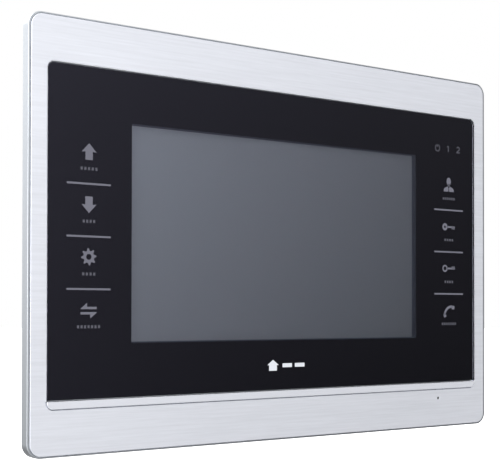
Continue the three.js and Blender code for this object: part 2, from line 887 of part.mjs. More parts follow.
// The slot in the bottom wall that the power switch's knob shows through.
function withSwitchSlot(body) {
  const { x, z, knobWidth, travel } = SWITCH;
  const bottom = -SHELL.height / 2;
  const half = knobWidth / 2 + 0.4;
  const slot = box(x - half, x + half + travel, bottom - 1, bottom + SHELL.wall + 1, z - 1.6, z + 1.6);
  return body.subtract(slot);
}

function powerSwitch() {
  const { x, z, knobWidth, travel } = SWITCH;
  const wallInside = -SHELL.height / 2 + SHELL.wall;
  const body = cut(
    box(-7, 10, wallInside + 0.2, wallInside + 6.6, z - 3, z + 3),
    box(-knobWidth / 2 - 0.6, knobWidth / 2 + travel + 0.6, -80, wallInside + 3, z - 1.7, z + 1.7),
  );
  let knob = box(-knobWidth / 2, knobWidth / 2, wallInside - 4.4, wallInside + 2.6, z - 1.25, z + 1.25);
  for (const a of [-1.2, 0, 1.2])
    knob = knob.subtract(box(a - 0.25, a + 0.25, -80, wallInside - 4, z - 2, z + 2));
  return placed(
    group(
      mesh("power_switch_body", body, material.tinPlate),
      mesh("power_switch_knob", knob, material.chipBlack),
    ),
    x,
    0,
  );
}

// The blank rating plate on the back.
function ratingLabel() {
  const top = SHELL.back - TOUCH;
  const sheet = prism(rectangle(68, 104, -40, -14, 1.5), top - 0.2, top, 1);
  return mesh("rating_label", sheet, material.labelWhite);
}

// ---------------------------------------------------------------- screws

// A pan-head screw whose head rests at the origin and whose shank runs along +z, with a cross slot.
function screwGeometry(headRadius, headHeight, shankRadius, length) {
  const body = solid(
    turned(
      [
        [0, -headHeight],
        [headRadius * 0.6, -headHeight],
        [headRadius, -headHeight * 0.35],
        [headRadius, 0],
        [shankRadius, 0],
        [shankRadius, length - shankRadius],
        [0, length],
      ],
      12,
    ),
  );
  const arm = headRadius * 0.55;
  return geometryOf(
    cut(
      body,
      box(-arm, arm, -0.3, 0.3, -headHeight - 1, -headHeight * 0.45),
      box(-0.3, 0.3, -arm, arm, -headHeight - 1, -headHeight * 0.45),
    ),
  );
}

function screws() {
  const made = [];
  const caseScrew = screwGeometry(CASE_SCREWS.headRadius, 2, CASE_SCREWS.shankRadius, 16.4);
  caseScrewPlaces().forEach(([x, y], i) => {
    const screw = mesh(`case_screw_${i + 1}`, caseScrew, material.zincSteel);
    made.push(placed(screw, x, y, CASE_SCREWS.seat - TOUCH));
  });
  const boardScrew = screwGeometry(2.4, 1.4, 1.1, 8);
  BOARD_SCREWS.forEach(([x, y], i) => {
    const screw = mesh(`board_screw_${i + 1}`, boardScrew, material.zincSteel);
    screw.rotation.x = Math.PI;
    made.push(placed(screw, x, y, MAIN_BOARD.back + MAIN_BOARD.thickness + TOUCH));
  });
  const strapScrew = screwGeometry(2.4, 1.2, 1, 6.2);
  strapScrewPlaces().forEach(([x, y], i) => {
    const screw = mesh(`strap_screw_${i + 1}`, strapScrew, material.zincSteel);
    made.push(placed(screw, x, y, STRAP.z - TOUCH));
  });
  return group(...made);
}

// ---------------------------------------------------------------- the whole monitor

const monitor = group(
  hangingBracket(),
  facePlate(),
  frontFrame(),
  trimBar(),
  touchGlass(),
  maskFilm(),
  screenGroup(),
  screenFlex(),
  screenStrap("screen_strap_left", -STRAP.x),
  screenStrap("screen_strap_right", STRAP.x),
  touchKeys(),
  keyRibbon("key_ribbon_left", -1),
  keyRibbon("key_ribbon_right", 1),
  mainBoard(),
  boardParts(),
  ...HEADERS.map(([name, x, pins]) => header(name, x, pins)),
  speakerGroup(),
  microphoneGroup(),
  leads(),
  rearHousing(),
  powerSwitch(),
  ratingLabel(),
  screws(),
);
monitor.rotation.x = Math.PI / 2;

export default monitor;
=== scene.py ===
"""Looks for the video intercom monitor: every visible piece, its materials, the stage and the camera.

The packed model is the fixed frame. Each operator below makes one piece, or one group of like pieces,
around it. New pieces are surfaces worked out with numpy in millimetres and put into the mesh in metres.
"""

import json
import math

import bmesh
import bpy
import numpy as np
from bpy.props import FloatProperty, FloatVectorProperty, IntProperty, PointerProperty
from mathutils import Matrix, Vector


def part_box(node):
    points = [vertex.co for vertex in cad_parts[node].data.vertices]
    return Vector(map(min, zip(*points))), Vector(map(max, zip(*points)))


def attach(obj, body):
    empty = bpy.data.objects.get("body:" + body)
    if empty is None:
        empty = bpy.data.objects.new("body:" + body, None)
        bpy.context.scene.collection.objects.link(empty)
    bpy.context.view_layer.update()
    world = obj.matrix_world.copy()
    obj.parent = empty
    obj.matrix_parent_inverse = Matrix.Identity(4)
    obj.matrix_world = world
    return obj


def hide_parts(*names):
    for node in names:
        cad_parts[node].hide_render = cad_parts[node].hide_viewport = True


bl_info = {
    "name": "Intercom monitor looks",
    "version": (1, 0, 0),
    "blender": (4, 5, 0),
    "location": "View3D > Sidebar > Intercom",
    "description": "Builds the visible surfaces, finishes and stage of a wall-hung intercom monitor",
    "category": "Object",
}

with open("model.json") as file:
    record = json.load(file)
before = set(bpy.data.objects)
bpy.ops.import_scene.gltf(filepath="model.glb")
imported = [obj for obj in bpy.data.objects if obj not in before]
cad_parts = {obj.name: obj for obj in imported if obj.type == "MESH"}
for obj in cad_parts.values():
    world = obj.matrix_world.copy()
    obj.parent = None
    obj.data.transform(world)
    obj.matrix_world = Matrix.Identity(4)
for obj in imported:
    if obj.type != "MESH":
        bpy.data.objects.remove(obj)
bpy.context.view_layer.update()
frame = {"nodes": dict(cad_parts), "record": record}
MM = 0.001


# ------------------------------------------------------------------ places taken from the frame


def box_mm(node):
    """A CAD node's lowest and highest corners, in millimetres."""
    low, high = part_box(node)
    return np.array(low) / MM, np.array(high) / MM


PLATE_LOW, PLATE_HIGH = box_mm("face_plate")
FRAME_LOW, FRAME_HIGH = box_mm("front_frame")
GLASS_LOW, GLASS_HIGH = box_mm("touch_glass")
TRIM_LOW, TRIM_HIGH = box_mm("trim_bar")
MASK_LOW, MASK_HIGH = box_mm("mask_film")
CELL_LOW, CELL_HIGH = box_mm("lcd_cell")
MIC_LOW, MIC_HIGH = box_mm("microphone")
CONE_LOW, CONE_HIGH = box_mm("speaker_cone")
MIC_CENTRE = (MIC_LOW + MIC_HIGH) / 2
CELL_CENTRE = (CELL_LOW + CELL_HIGH) / 2
CONE_CENTRE = (CONE_LOW + CONE_HIGH) / 2
PLATE_HALF = (PLATE_HIGH - PLATE_LOW) / 2
FRAME_HALF = (FRAME_HIGH - FRAME_LOW) / 2
FACE_Y = PLATE_LOW[1]  # the front of the monitor


# ------------------------------------------------------------------ sizes and colours to change


class IntercomFront(bpy.types.PropertyGroup):
    """Sizes of the metal front, in metres."""

    plate_radius: FloatProperty(
        name="Plate corner", description="Radius of the face plate's corners", default=0.0048, unit="LENGTH"
    )
    plate_edge: FloatProperty(
        name="Plate edge",
        description="Width of the rounded edge of the plate",
        default=0.00015,
        unit="LENGTH",
    )
    frame_radius: FloatProperty(
        name="Frame corner", description="Radius of the side frame's corners", default=0.0056, unit="LENGTH"
    )
    frame_edge: FloatProperty(
        name="Frame edge",
        description="Width of the frame's bright front edge",
        default=0.00015,
        unit="LENGTH",
    )
    groove: FloatProperty(
        name="Groove", description="Gap between the plate and the frame", default=0.0003, unit="LENGTH"
    )
    margin_side: FloatProperty(
        name="Side margin", description="Plate left of the opening", default=0.0064, unit="LENGTH"
    )
    margin_top: FloatProperty(
        name="Top margin", description="Plate above the opening", default=0.0171, unit="LENGTH"
    )
    opening_radius: FloatProperty(
        name="Opening corner", description="Radius of the opening's corners", default=0.0033, unit="LENGTH"
    )
    microphone_hole: FloatProperty(
        name="Microphone hole", description="Radius of the microphone hole", default=0.00065, unit="LENGTH"
    )
    plate_colour: FloatVectorProperty(
        name="Plate",
        description="Colour of the brushed metal",
        default=(0.83, 0.85, 0.915),
        size=3,
        subtype="COLOR",
    )
    frame_colour: FloatVectorProperty(
        name="Frame",
        description="Colour of the side frame",
        default=(0.74, 0.78, 0.83),
        size=3,
        subtype="COLOR",
    )
    corner_steps: IntProperty(
        name="Corner steps", description="Facets in each quarter of a corner", default=16, min=4, max=48
    )


class IntercomScreen(bpy.types.PropertyGroup):
    """Sizes and colours of the glass, the print and the screen."""

    glass_edge: FloatProperty(
        name="Glass edge",
        description="Width of the ground edge of the glass",
        default=0.00012,
        unit="LENGTH",
    )
    glass_radius: FloatProperty(
        name="Glass corner",
        description="Radius of the glass's upper corners",
        default=0.0027,
        unit="LENGTH",
    )
    active_width: FloatProperty(
        name="Picture width", description="Width of the lit area", default=0.15408, unit="LENGTH"
    )
    active_height: FloatProperty(
        name="Picture height", description="Height of the lit area", default=0.08592, unit="LENGTH"
    )
    window_width: FloatProperty(
        name="Window width", description="Clear window in the black print", default=0.1563, unit="LENGTH"
    )
    window_height: FloatProperty(
        name="Window height", description="Clear window in the black print", default=0.0869, unit="LENGTH"
    )
    picture_colour: FloatVectorProperty(
        name="Picture",
        description="Colour of the unlit screen",
        default=(0.150, 0.163, 0.198),
        size=3,
        subtype="COLOR",
    )
    border_colour: FloatVectorProperty(
        name="Border",
        description="Colour of the screen's border",
        default=(0.028, 0.036, 0.055),
        size=3,
        subtype="COLOR",
    )
    print_colour: FloatVectorProperty(
        name="Print",
        description="Colour of the black print",
        default=(0.0025, 0.0025, 0.0032),
        size=3,
        subtype="COLOR",
    )
    legend_colour: FloatVectorProperty(
        name="Legends",
        description="Colour of the key symbols",
        default=(0.135, 0.135, 0.165),
        size=3,
        subtype="COLOR",
    )
    mark_colour: FloatVectorProperty(
        name="Mark",
        description="Colour of the white mark",
        default=(0.60, 0.62, 0.66),
        size=3,
        subtype="COLOR",
    )


class IntercomKeys(bpy.types.PropertyGroup):
    """Places of the printed keys on the glass, from the middle of the face."""

    left_column: FloatProperty(
        name="Left column", description="Middle of the left keys", default=-0.09867, unit="LENGTH"
    )
    right_column: FloatProperty(
        name="Right column", description="Middle of the right keys", default=0.09828, unit="LENGTH"
    )
    first_row: FloatProperty(
        name="First row", description="Height of the top keys", default=0.03264, unit="LENGTH"
    )
    row_pitch: FloatProperty(
        name="Row pitch", description="Distance from row to row", default=0.0203, unit="LENGTH"
    )
    label_drop: FloatProperty(
        name="Label drop", description="Label bars below a key's middle", default=0.0065, unit="LENGTH"
    )
    ink: FloatProperty(
        name="Ink", description="Thickness of the printed ink", default=0.00002, precision=6, unit="LENGTH"
    )


class IntercomStage(bpy.types.PropertyGroup):
    """Camera, floor and lights."""

    yaw: FloatProperty(
        name="Yaw",
        description="How far the camera looks to the right",
        default=math.radians(36.489),
        subtype="ANGLE",
    )
    pitch: FloatProperty(
        name="Pitch",
        description="How far the camera looks up",
        default=math.radians(-0.810),
        subtype="ANGLE",
    )
    roll: FloatProperty(
        name="Roll",
        description="Turn about the line of sight",
        default=math.radians(0.082),
        subtype="ANGLE",
    )
    camera_offset: FloatVectorProperty(
        name="Camera place",
        description="Camera from the middle of the face",
        default=(-0.31851, -0.40201, -0.02831),
        size=3,
        subtype="TRANSLATION",
    )
    lens: FloatProperty(name="Lens", description="Focal length in millimetres", default=84.875)
    shift: FloatProperty(name="Shift", description="Rise of the lens", default=0.1131)
    floor_drop: FloatProperty(
        name="Floor", description="Floor below the monitor", default=0.09, unit="LENGTH"
    )


# ------------------------------------------------------------------ surfaces on a grid


def outline(left, right, bottom, top, radii, steps, stops=()):
    """A closed rounded rectangle in x and z, as an array of points that runs anticlockwise.

    Each corner is a quarter circle: its middle plus radius times (cosine, sine) of an angle that grows by
    a quarter turn. radii are those of the lower left, lower right, upper right and upper left corners.
    The bottom side also gets a point at every x in stops.
    """
    turn = np.linspace(0, np.pi / 2, steps + 1)

    def corner(x, z, radius, start):
        return np.column_stack((x + radius * np.cos(start + turn), z + radius * np.sin(start + turn)))

    lower_left, lower_right, upper_right, upper_left = radii
    return np.vstack(
        (
            corner(left + lower_left, bottom + lower_left, lower_left, np.pi),
            *[[(x, bottom)] for x in stops],
            corner(right - lower_right, bottom + lower_right, lower_right, 1.5 * np.pi),
            corner(right - upper_right, top - upper_right, upper_right, 0),
            corner(left + upper_left, top - upper_left, upper_left, 0.5 * np.pi),
        )
    )


def centred(half_width, half_height, radius, steps, stops=()):
    """A rounded rectangle about the middle of the face."""
    return outline(-half_width, half_width, -half_height, half_height, [radius] * 4, steps, stops)


def at_depth(points, y):
    """An outline in x and z at one depth y, as points in space."""
    return np.column_stack((points[:, 0], np.full(len(points), float(y)), points[:, 1]))


def loft(rings, closed=False, capped=False):
    """Surface through rings of equal length: point j of ring i joins point j of ring i + 1.

    A closed loft joins its last ring to its first, which gives a frame. A capped loft ends in flat faces.
    """
    rings = np.asarray(rings)
    count, size = rings.shape[:2]
    index = np.arange(count * size).reshape(count, size)
    follow = np.roll(index, -1, axis=1)
    if closed:
        near, far, near_follow, far_follow = index, np.roll(index, -1, 0), follow, np.roll(follow, -1, 0)
    else:
        near, far, near_follow, far_follow = index[:-1], index[1:], follow[:-1], follow[1:]
    quads = np.stack((near, near_follow, far_follow, far), axis=-1).reshape(-1, 4)
    faces = quads.tolist()
    if capped:
        faces.append(index[0][::-1].tolist())
        faces.append(index[-1].tolist())
    return rings.reshape(-1, 3), faces


def join_surfaces(*surfaces):
    """Several surfaces in one: the faces of each are counted on from the points before it."""
    points, faces, start = [], [], 0
    for more_points, more_faces in surfaces:
        points.append(more_points)
        faces.extend([[start + i for i in face] for face in more_faces])
        start += len(more_points)
    return np.vstack(points), faces


def revolve(profile, centre, sides, closed=True):
    """A profile of (radius, y) turned about the y axis through centre: x and z are radius times cosine
    and sine of the angle. A profile that begins and ends on the axis closes there."""
    profile = np.asarray(profile, float)
    angle = np.linspace(0, 2 * np.pi, sides, endpoint=False)
    radius = np.maximum(profile[:, :1], 1e-4)
    rings = np.stack(
        (
            centre[0] + radius * np.cos(angle),
            np.repeat(profile[:, 1:], sides, axis=1),
            centre[2] + radius * np.sin(angle),
        ),
        axis=-1,
    )
    return loft(rings, closed=closed, capped=not closed)


def slab(points, back, front):
    """A flat shape in x and z given a thickness: its outline at two depths, with both ends closed."""
    points = np.asarray(points, float)
    return loft([at_depth(points, back), at_depth(points, front)], capped=True)


def washer(outer, inner, back, front):
    """A flat shape with a hole: outlines of equal length carried round a square section."""
    return loft(
        [at_depth(outer, back), at_depth(outer, front), at_depth(inner, front), at_depth(inner, back)],
        closed=True,
    )


HOLD = 0.03  # distance from a rounded edge to the extra ring that keeps the flat beside it flat


def rounded(shape, edge, face, steps=6):
    """Rings over an outer edge, a quarter of an ellipse from the side wall to the face: the outline moves
    in by edge times (1 less cosine) while the depth moves by edge times (1 less sine). shape gives the
    outline for an inset. A further ring lies close by on each flat."""
    turn = np.linspace(0, np.pi / 2, steps)
    rings = [at_depth(shape(0), face + edge + HOLD)]
    rings += [at_depth(shape(edge * (1 - np.cos(a))), face + edge * (1 - np.sin(a))) for a in turn]
    return rings + [at_depth(shape(edge + HOLD), face)]


def circle(x, z, radius, sides=32, start=0.0):
    """Points on a circle: middle plus radius times (cosine, sine)."""
    angle = start + np.linspace(0, 2 * np.pi, sides, endpoint=False)
    return np.column_stack((x + radius * np.cos(angle), z + radius * np.sin(angle)))


def stroke(line, width):
    """The outline of a drawn line: each point moved half the width to either side, across the line's
    own direction there, which is the difference of its two neighbours."""
    line = np.asarray(line, float)
    along = np.gradient(line, axis=0)
    along /= np.linalg.norm(along, axis=1, keepdims=True)
    across = np.column_stack((-along[:, 1], along[:, 0])) * width / 2
    return np.vstack((line - across, (line + across)[::-1]))


def arc(x, z, radius, start, end, steps=16):
    """Points on an arc between two angles in degrees."""
    angle = np.radians(np.linspace(start, end, steps + 1))
    return np.column_stack((x + radius * np.cos(angle), z + radius * np.sin(angle)))


# ------------------------------------------------------------------ pieces


def put_mesh(name, surface):
    """A mesh object from points in millimetres, with doubles merged and all faces turned outwards."""
    points, faces = surface
    data = bpy.data.meshes.new(name)
    data.from_pydata((np.asarray(points) * MM).tolist(), [], faces)
    work = bmesh.new()
    work.from_mesh(data)
    bmesh.ops.remove_doubles(work, verts=work.verts, dist=1e-7)
    bmesh.ops.recalc_face_normals(work, faces=work.faces)
    work.to_mesh(data)
    work.free()
    made = bpy.data.objects.new(name, data)
    bpy.context.scene.collection.objects.link(made)
    return made


def finish_piece(piece, material, body, slot, replaced=(), smooth=30.0):
    """Shading, material and body of a new piece; the record slot it is given is not used."""
    piece.data.shade_smooth()
    piece.data.set_sharp_from_angle(angle=math.radians(smooth))
    if not piece.data.materials:
        piece.data.materials.append(material)
    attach(piece, body)
    if replaced:
        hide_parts(*replaced)


def refined(node, bevel, material, body, slot, segments=2, flat=1.0, edge=32.0):
    """A copy of a CAD node with its triangles merged into whole faces and its edges softly rounded."""
    data = frame["nodes"][node].data.copy()
    data.materials.clear()
    work = bmesh.new()
    work.from_mesh(data)
    bmesh.ops.remove_doubles(work, verts=work.verts, dist=2e-6)
    bmesh.ops.dissolve_limit(
        work, angle_limit=math.radians(flat), verts=work.verts, edges=work.edges
    )
    bmesh.ops.recalc_face_normals(work, faces=work.faces)
    work.to_mesh(data)
    work.free()
    piece = bpy.data.objects.new(node + "_piece", data)
    bpy.context.scene.collection.objects.link(piece)
    finish_piece(piece, material, body, slot, [node], edge)
    if bevel:
        rounding = piece.modifiers.new("rounded edges", "BEVEL")
        rounding.width = bevel * MM
        rounding.segments = segments
        rounding.limit_method = "ANGLE"
        rounding.angle_limit = math.radians(edge)
        rounding.use_clamp_overlap = True
        rounding.harden_normals = True
    return piece


def faces_where(piece, test, material):
    """Gives a second material to the faces whose middles, in millimetres, pass the test."""
    middles = np.zeros(len(piece.data.polygons) * 3)
    piece.data.polygons.foreach_get("center", middles)
    chosen = test(middles.reshape(-1, 3) / MM)
    numbers = np.zeros(len(piece.data.polygons), np.int32)
    piece.data.polygons.foreach_get("material_index", numbers)
    piece.data.materials.append(material)
    numbers[chosen] = len(piece.data.materials) - 1
    piece.data.polygons.foreach_set("material_index", numbers)


# ------------------------------------------------------------------ shader groups


def new_group(name, inputs, outputs):
    """An empty shader node group with named float, colour or vector sockets."""
    tree = bpy.data.node_groups.new(name, "ShaderNodeTree")
    for label, kind, value in inputs:
        socket = tree.interface.new_socket(name=label, in_out="INPUT", socket_type="NodeSocket" + kind)
        if value is not None:
            socket.default_value = value
    for label, kind in outputs:
        tree.interface.new_socket(name=label, in_out="OUTPUT", socket_type="NodeSocket" + kind)
    return tree, tree.nodes.new("NodeGroupInput"), tree.nodes.new("NodeGroupOutput")


def node(tree, kind, links=None, **options):
    """A node of a kind, with its options, and its inputs set to a value or linked to a socket."""
    made = tree.nodes.new("ShaderNode" + kind)
    for key, value in options.items():
        setattr(made, key, value)
    for key, value in (links or {}).items():
        if isinstance(value, bpy.types.NodeSocket):
            tree.links.new(value, made.inputs[key])
        else:
            made.inputs[key].default_value = value
    return made


def math_node(tree, operation, first, second):
    """The result of one sum on two values or sockets."""
    return node(tree, "Math", {0: first, 1: second}, operation=operation).outputs[0]


def blend(tree, first, second, share):
    """Two values added together, the first in the given share and the second in the rest of it."""
    more = math_node(tree, "MULTIPLY", first, share)
    less = math_node(tree, "MULTIPLY", second, 1 - share)
    return math_node(tree, "ADD", more, less)


def spread(tree, value, low, high, new_low, new_high):
    """A value moved from one range to another, and held inside the new one."""
    inputs = {"Value": value, "From Min": low, "From Max": high, "To Min": new_low, "To Max": new_high}
    return node(tree, "MapRange", inputs).outputs["Result"]


def streaks(tree, vector, scale, detail=3.0):
    """Noise on coordinates stretched by a scale for each axis, in cycles per metre."""
    stretched = node(tree, "Mapping", {"Vector": vector, "Scale": scale}).outputs["Vector"]
    noise = {"Vector": stretched, "Scale": 1.0, "Detail": detail, "Roughness": 0.6}
    return node(tree, "TexNoise", noise).outputs["Fac"]


def brushed_grain():
    """Fine lines along x: a long soft streak, a short sharp one, and a slow change of tone."""
    tree, given, result = new_group(
        "Brushed grain",
        [("Vector", "Vector", None), ("Contrast", "Float", 1.0)],
        [("Tone", "Float"), ("Roughness", "Float"), ("Height", "Float")],
    )
    vector = given.outputs["Vector"]
    long_lines = streaks(tree, vector, (30.0, 500.0, 1100.0), 2.0)
    short_lines = streaks(tree, vector, (150.0, 3000.0, 7000.0), 4.0)
    clouds = streaks(tree, vector, (9.0, 9.0, 28.0), 1.0)
    lines = blend(tree, long_lines, short_lines, 0.6)
    mixed = blend(tree, lines, clouds, 0.75)
    centred_tone = math_node(tree, "SUBTRACT", mixed, 0.5)
    scaled = math_node(tree, "MULTIPLY", centred_tone, given.outputs["Contrast"])
    tone = math_node(tree, "ADD", scaled, 0.5)
    tree.links.new(tone, result.inputs["Tone"])
    tree.links.new(spread(tree, short_lines, 0.3, 0.7, 0.30, 0.42), result.inputs["Roughness"])
    tree.links.new(lines, result.inputs["Height"])
    return tree


def moulded_grain():
    """The fine leather-like texture of a moulded case: rounded cells broken up by small noise."""
    tree, given, result = new_group(
        "Moulded grain",
        [("Vector", "Vector", None), ("Cells", "Float", 1500.0)],
        [("Tone", "Float"), ("Roughness", "Float"), ("Height", "Float")],
    )
    vector = given.outputs["Vector"]
    cells = node(tree, "TexVoronoi", {"Vector": vector, "Scale": given.outputs["Cells"]}, feature="SMOOTH_F1")
    fine = node(tree, "TexNoise", {"Vector": vector, "Scale": 2600.0, "Detail": 3.0}).outputs["Fac"]
    slow = node(tree, "TexNoise", {"Vector": vector, "Scale": 22.0, "Detail": 2.0}).outputs["Fac"]
    height = math_node(tree, "ADD", cells.outputs["Distance"], math_node(tree, "MULTIPLY", fine, 0.5))
    tree.links.new(spread(tree, slow, 0.3, 0.7, 0.0, 1.0), result.inputs["Tone"])
    tree.links.new(spread(tree, fine, 0.3, 0.7, 0.48, 0.62), result.inputs["Roughness"])
    tree.links.new(height, result.inputs["Height"])
    return tree


def plated_surface():
    """Plated sheet metal: faint crystals, rolling lines and small scratches."""
    tree, given, result = new_group(
        "Plated surface",
        [("Vector", "Vector", None), ("Crystals", "Float", 320.0)],
        [("Tone", "Float"), ("Roughness", "Float"), ("Height", "Float")],
    )
    vector = given.outputs["Vector"]
    crystals = node(tree, "TexVoronoi", {"Vector": vector, "Scale": given.outputs["Crystals"]})
    grey = node(tree, "SeparateColor", {"Color": crystals.outputs["Color"]}).outputs["Red"]
    rolled = streaks(tree, vector, (4000.0, 4000.0, 60.0), 3.0)
    slow = node(tree, "TexNoise", {"Vector": vector, "Scale": 30.0, "Detail": 3.0}).outputs["Fac"]
    tree.links.new(blend(tree, grey, slow, 0.5), result.inputs["Tone"])
    tree.links.new(spread(tree, slow, 0.3, 0.7, 0.26, 0.44), result.inputs["Roughness"])
    tree.links.new(rolled, result.inputs["Height"])
    return tree


GROUP_MAKERS = {"brushed": brushed_grain, "moulded": moulded_grain, "plated": plated_surface}
GROUPS = {}
MATERIALS = {}


def surface_material(name, low, high, group, bump=0.1, depth=0.02, roughness=None, inputs=None, **sockets):
    """A Principled material whose colour runs between two tones and whose gloss and bump come from a
    shared group. roughness, when given, is the group's range moved to (lowest, highest)."""
    material = bpy.data.materials.new(name)
    material.use_nodes = True
    tree = material.node_tree
    shader = tree.nodes["Principled BSDF"]
    place = node(tree, "TexCoord").outputs["Object"]
    effect = tree.nodes.new("ShaderNodeGroup")
    effect.node_tree = GROUPS[group]
    tree.links.new(place, effect.inputs["Vector"])
    for key, value in (inputs or {}).items():
        effect.inputs[key].default_value = value
    tone = node(tree, "Mix", {"Factor": effect.outputs["Tone"]}, data_type="RGBA")
    tone.inputs["A"].default_value = (*low, 1)
    tone.inputs["B"].default_value = (*high, 1)
    tree.links.new(tone.outputs["Result"], shader.inputs["Base Color"])
    gloss = effect.outputs["Roughness"]
    if roughness:
        gloss = spread(tree, gloss, 0.25, 0.65, *roughness)
    tree.links.new(gloss, shader.inputs["Roughness"])
    height = {"Height": effect.outputs["Height"], "Strength": bump, "Distance": depth * MM}
    relief = node(tree, "Bump", height)
    tree.links.new(relief.outputs["Normal"], shader.inputs["Normal"])
    for key, value in sockets.items():
        shader.inputs[key.replace("_", " ")].default_value = value
    MATERIALS[name] = material


def shade(colour, factor):
    """A colour made lighter or darker by a factor."""
    return tuple(min(1.0, c * factor) for c in colour)


def glass_material():
    """Clear polished glass with the faintest smears in its gloss."""
    material = bpy.data.materials.new("touch_glass")
    material.use_nodes = True
    tree = material.node_tree
    shader = tree.nodes["Principled BSDF"]
    place = node(tree, "TexCoord").outputs["Object"]
    smear = node(tree, "TexNoise", {"Vector": place, "Scale": 14.0, "Detail": 2.0}).outputs["Fac"]
    tree.links.new(spread(tree, smear, 0.35, 0.7, 0.02, 0.05), shader.inputs["Roughness"])
    tint = node(tree, "Mix", {"Factor": smear}, data_type="RGBA")
    tint.inputs["A"].default_value = (0.97, 0.98, 1.0, 1)
    tint.inputs["B"].default_value = (0.99, 0.99, 1.0, 1)
    tree.links.new(tint.outputs["Result"], shader.inputs["Base Color"])
    shader.inputs["IOR"].default_value = 1.6
    shader.inputs["Specular Tint"].default_value = (0.73, 0.72, 1.0, 1)
    shader.inputs["Transmission Weight"].default_value = 1.0
    MATERIALS["touch_glass"] = material


# The screen's grey fades from the upper left to the lower right: a painted reflection in its colour
PICTURE_MIDDLE = 0.55  # share of the full grey in the middle of the screen
PAINTED_REFLECTION_FALL = 4.35  # how fast the painted reflection on the grey falls off to the right, per metre
PAINTED_REFLECTION_SLANT = 0.765  # how much of that fall is also found going down


def picture_material(colour):
    """The unlit screen: a fine dot grid over the screen's own grey, with a painted reflection that falls
    off as an exponential of the distance from the upper left towards the lower right."""
    material = bpy.data.materials.new("screen_picture")
    material.use_nodes = True
    tree = material.node_tree
    shader = tree.nodes["Principled BSDF"]
    place = node(tree, "TexCoord").outputs["Object"]
    parts = node(tree, "SeparateXYZ", {"Vector": place})
    # painted reflection: the grey falls off as an exponential of the distance from the upper left
    down = math_node(tree, "MULTIPLY", parts.outputs["Z"], -PAINTED_REFLECTION_SLANT)
    slope = math_node(tree, "MULTIPLY", math_node(tree, "ADD", parts.outputs["X"], down), -PAINTED_REFLECTION_FALL)
    level = math_node(tree, "MULTIPLY", math_node(tree, "POWER", math.e, slope), PICTURE_MIDDLE)
    dots = node(tree, "TexWave", {"Vector": place, "Scale": 950.0, "Distortion": 0.0}, bands_direction="X")
    # the screen's own grey, darkened by the painted reflection
    grey_with_painted_reflection = node(tree, "Mix", {"Factor": level}, data_type="RGBA")
    grey_with_painted_reflection.inputs["A"].default_value = (0, 0, 0, 1)
    grey_with_painted_reflection.inputs["B"].default_value = (*shade(colour, 1.6), 1)
    faint = {"A": grey_with_painted_reflection.outputs["Result"], "Factor": 0.02}
    fine = node(tree, "Mix", faint, data_type="RGBA", blend_type="MULTIPLY")
    tree.links.new(dots.outputs["Color"], fine.inputs["B"])
    tree.links.new(fine.outputs["Result"], shader.inputs["Base Color"])
    shader.inputs["Roughness"].default_value = 0.55
    shader.inputs["Specular IOR Level"].default_value = 0.25
    MATERIALS["screen_picture"] = material


def board_material():
    """Green circuit board: copper tracks under the mask as darker and lighter lanes, with small vias."""
    material = bpy.data.materials.new("circuit_board")
    material.use_nodes = True
    tree = material.node_tree
    shader = tree.nodes["Principled BSDF"]
    place = node(tree, "TexCoord").outputs["Object"]
    lanes = node(
        tree, "TexBrick", {"Scale": 260.0, "Mortar Size": 0.08, "Brick Width": 2.6, "Row Height": 0.35}
    )
    turned = node(tree, "Mapping", {"Vector": place, "Rotation": (math.pi / 2, 0, 0)}).outputs["Vector"]
    tree.links.new(turned, lanes.inputs["Vector"])
    tracks = lanes.outputs["Fac"]
    vias = node(tree, "TexVoronoi", {"Vector": turned, "Scale": 330.0})
    holes = spread(tree, vias.outputs["Distance"], 0.14, 0.18, 1.0, 0.0)
    green = node(tree, "Mix", {"Factor": tracks}, data_type="RGBA")
    green.inputs["A"].default_value = (0.010, 0.085, 0.032, 1)
    green.inputs["B"].default_value = (0.018, 0.15, 0.055, 1)
    gold = node(tree, "Mix", {"Factor": holes, "A": green.outputs["Result"]}, data_type="RGBA")
    gold.inputs["B"].default_value = (0.62, 0.45, 0.16, 1)
    tree.links.new(gold.outputs["Result"], shader.inputs["Base Color"])
    tree.links.new(spread(tree, holes, 0.0, 1.0, 0.35, 0.25), shader.inputs["Roughness"])
    tree.links.new(spread(tree, holes, 0.0, 1.0, 0.0, 0.9), shader.inputs["Metallic"])
    relief = node(tree, "Bump", {"Height": tracks, "Strength": 0.3, "Distance": 0.03 * MM})
    tree.links.new(relief.outputs["Normal"], shader.inputs["Normal"])
    MATERIALS["circuit_board"] = material


# ------------------------------------------------------------------ finishes and the front


def opening_half(front):
    """Half the width and height of the plate's opening, from its margins."""
    return PLATE_HALF[0] - front.margin_side / MM, PLATE_HALF[2] - front.margin_top / MM


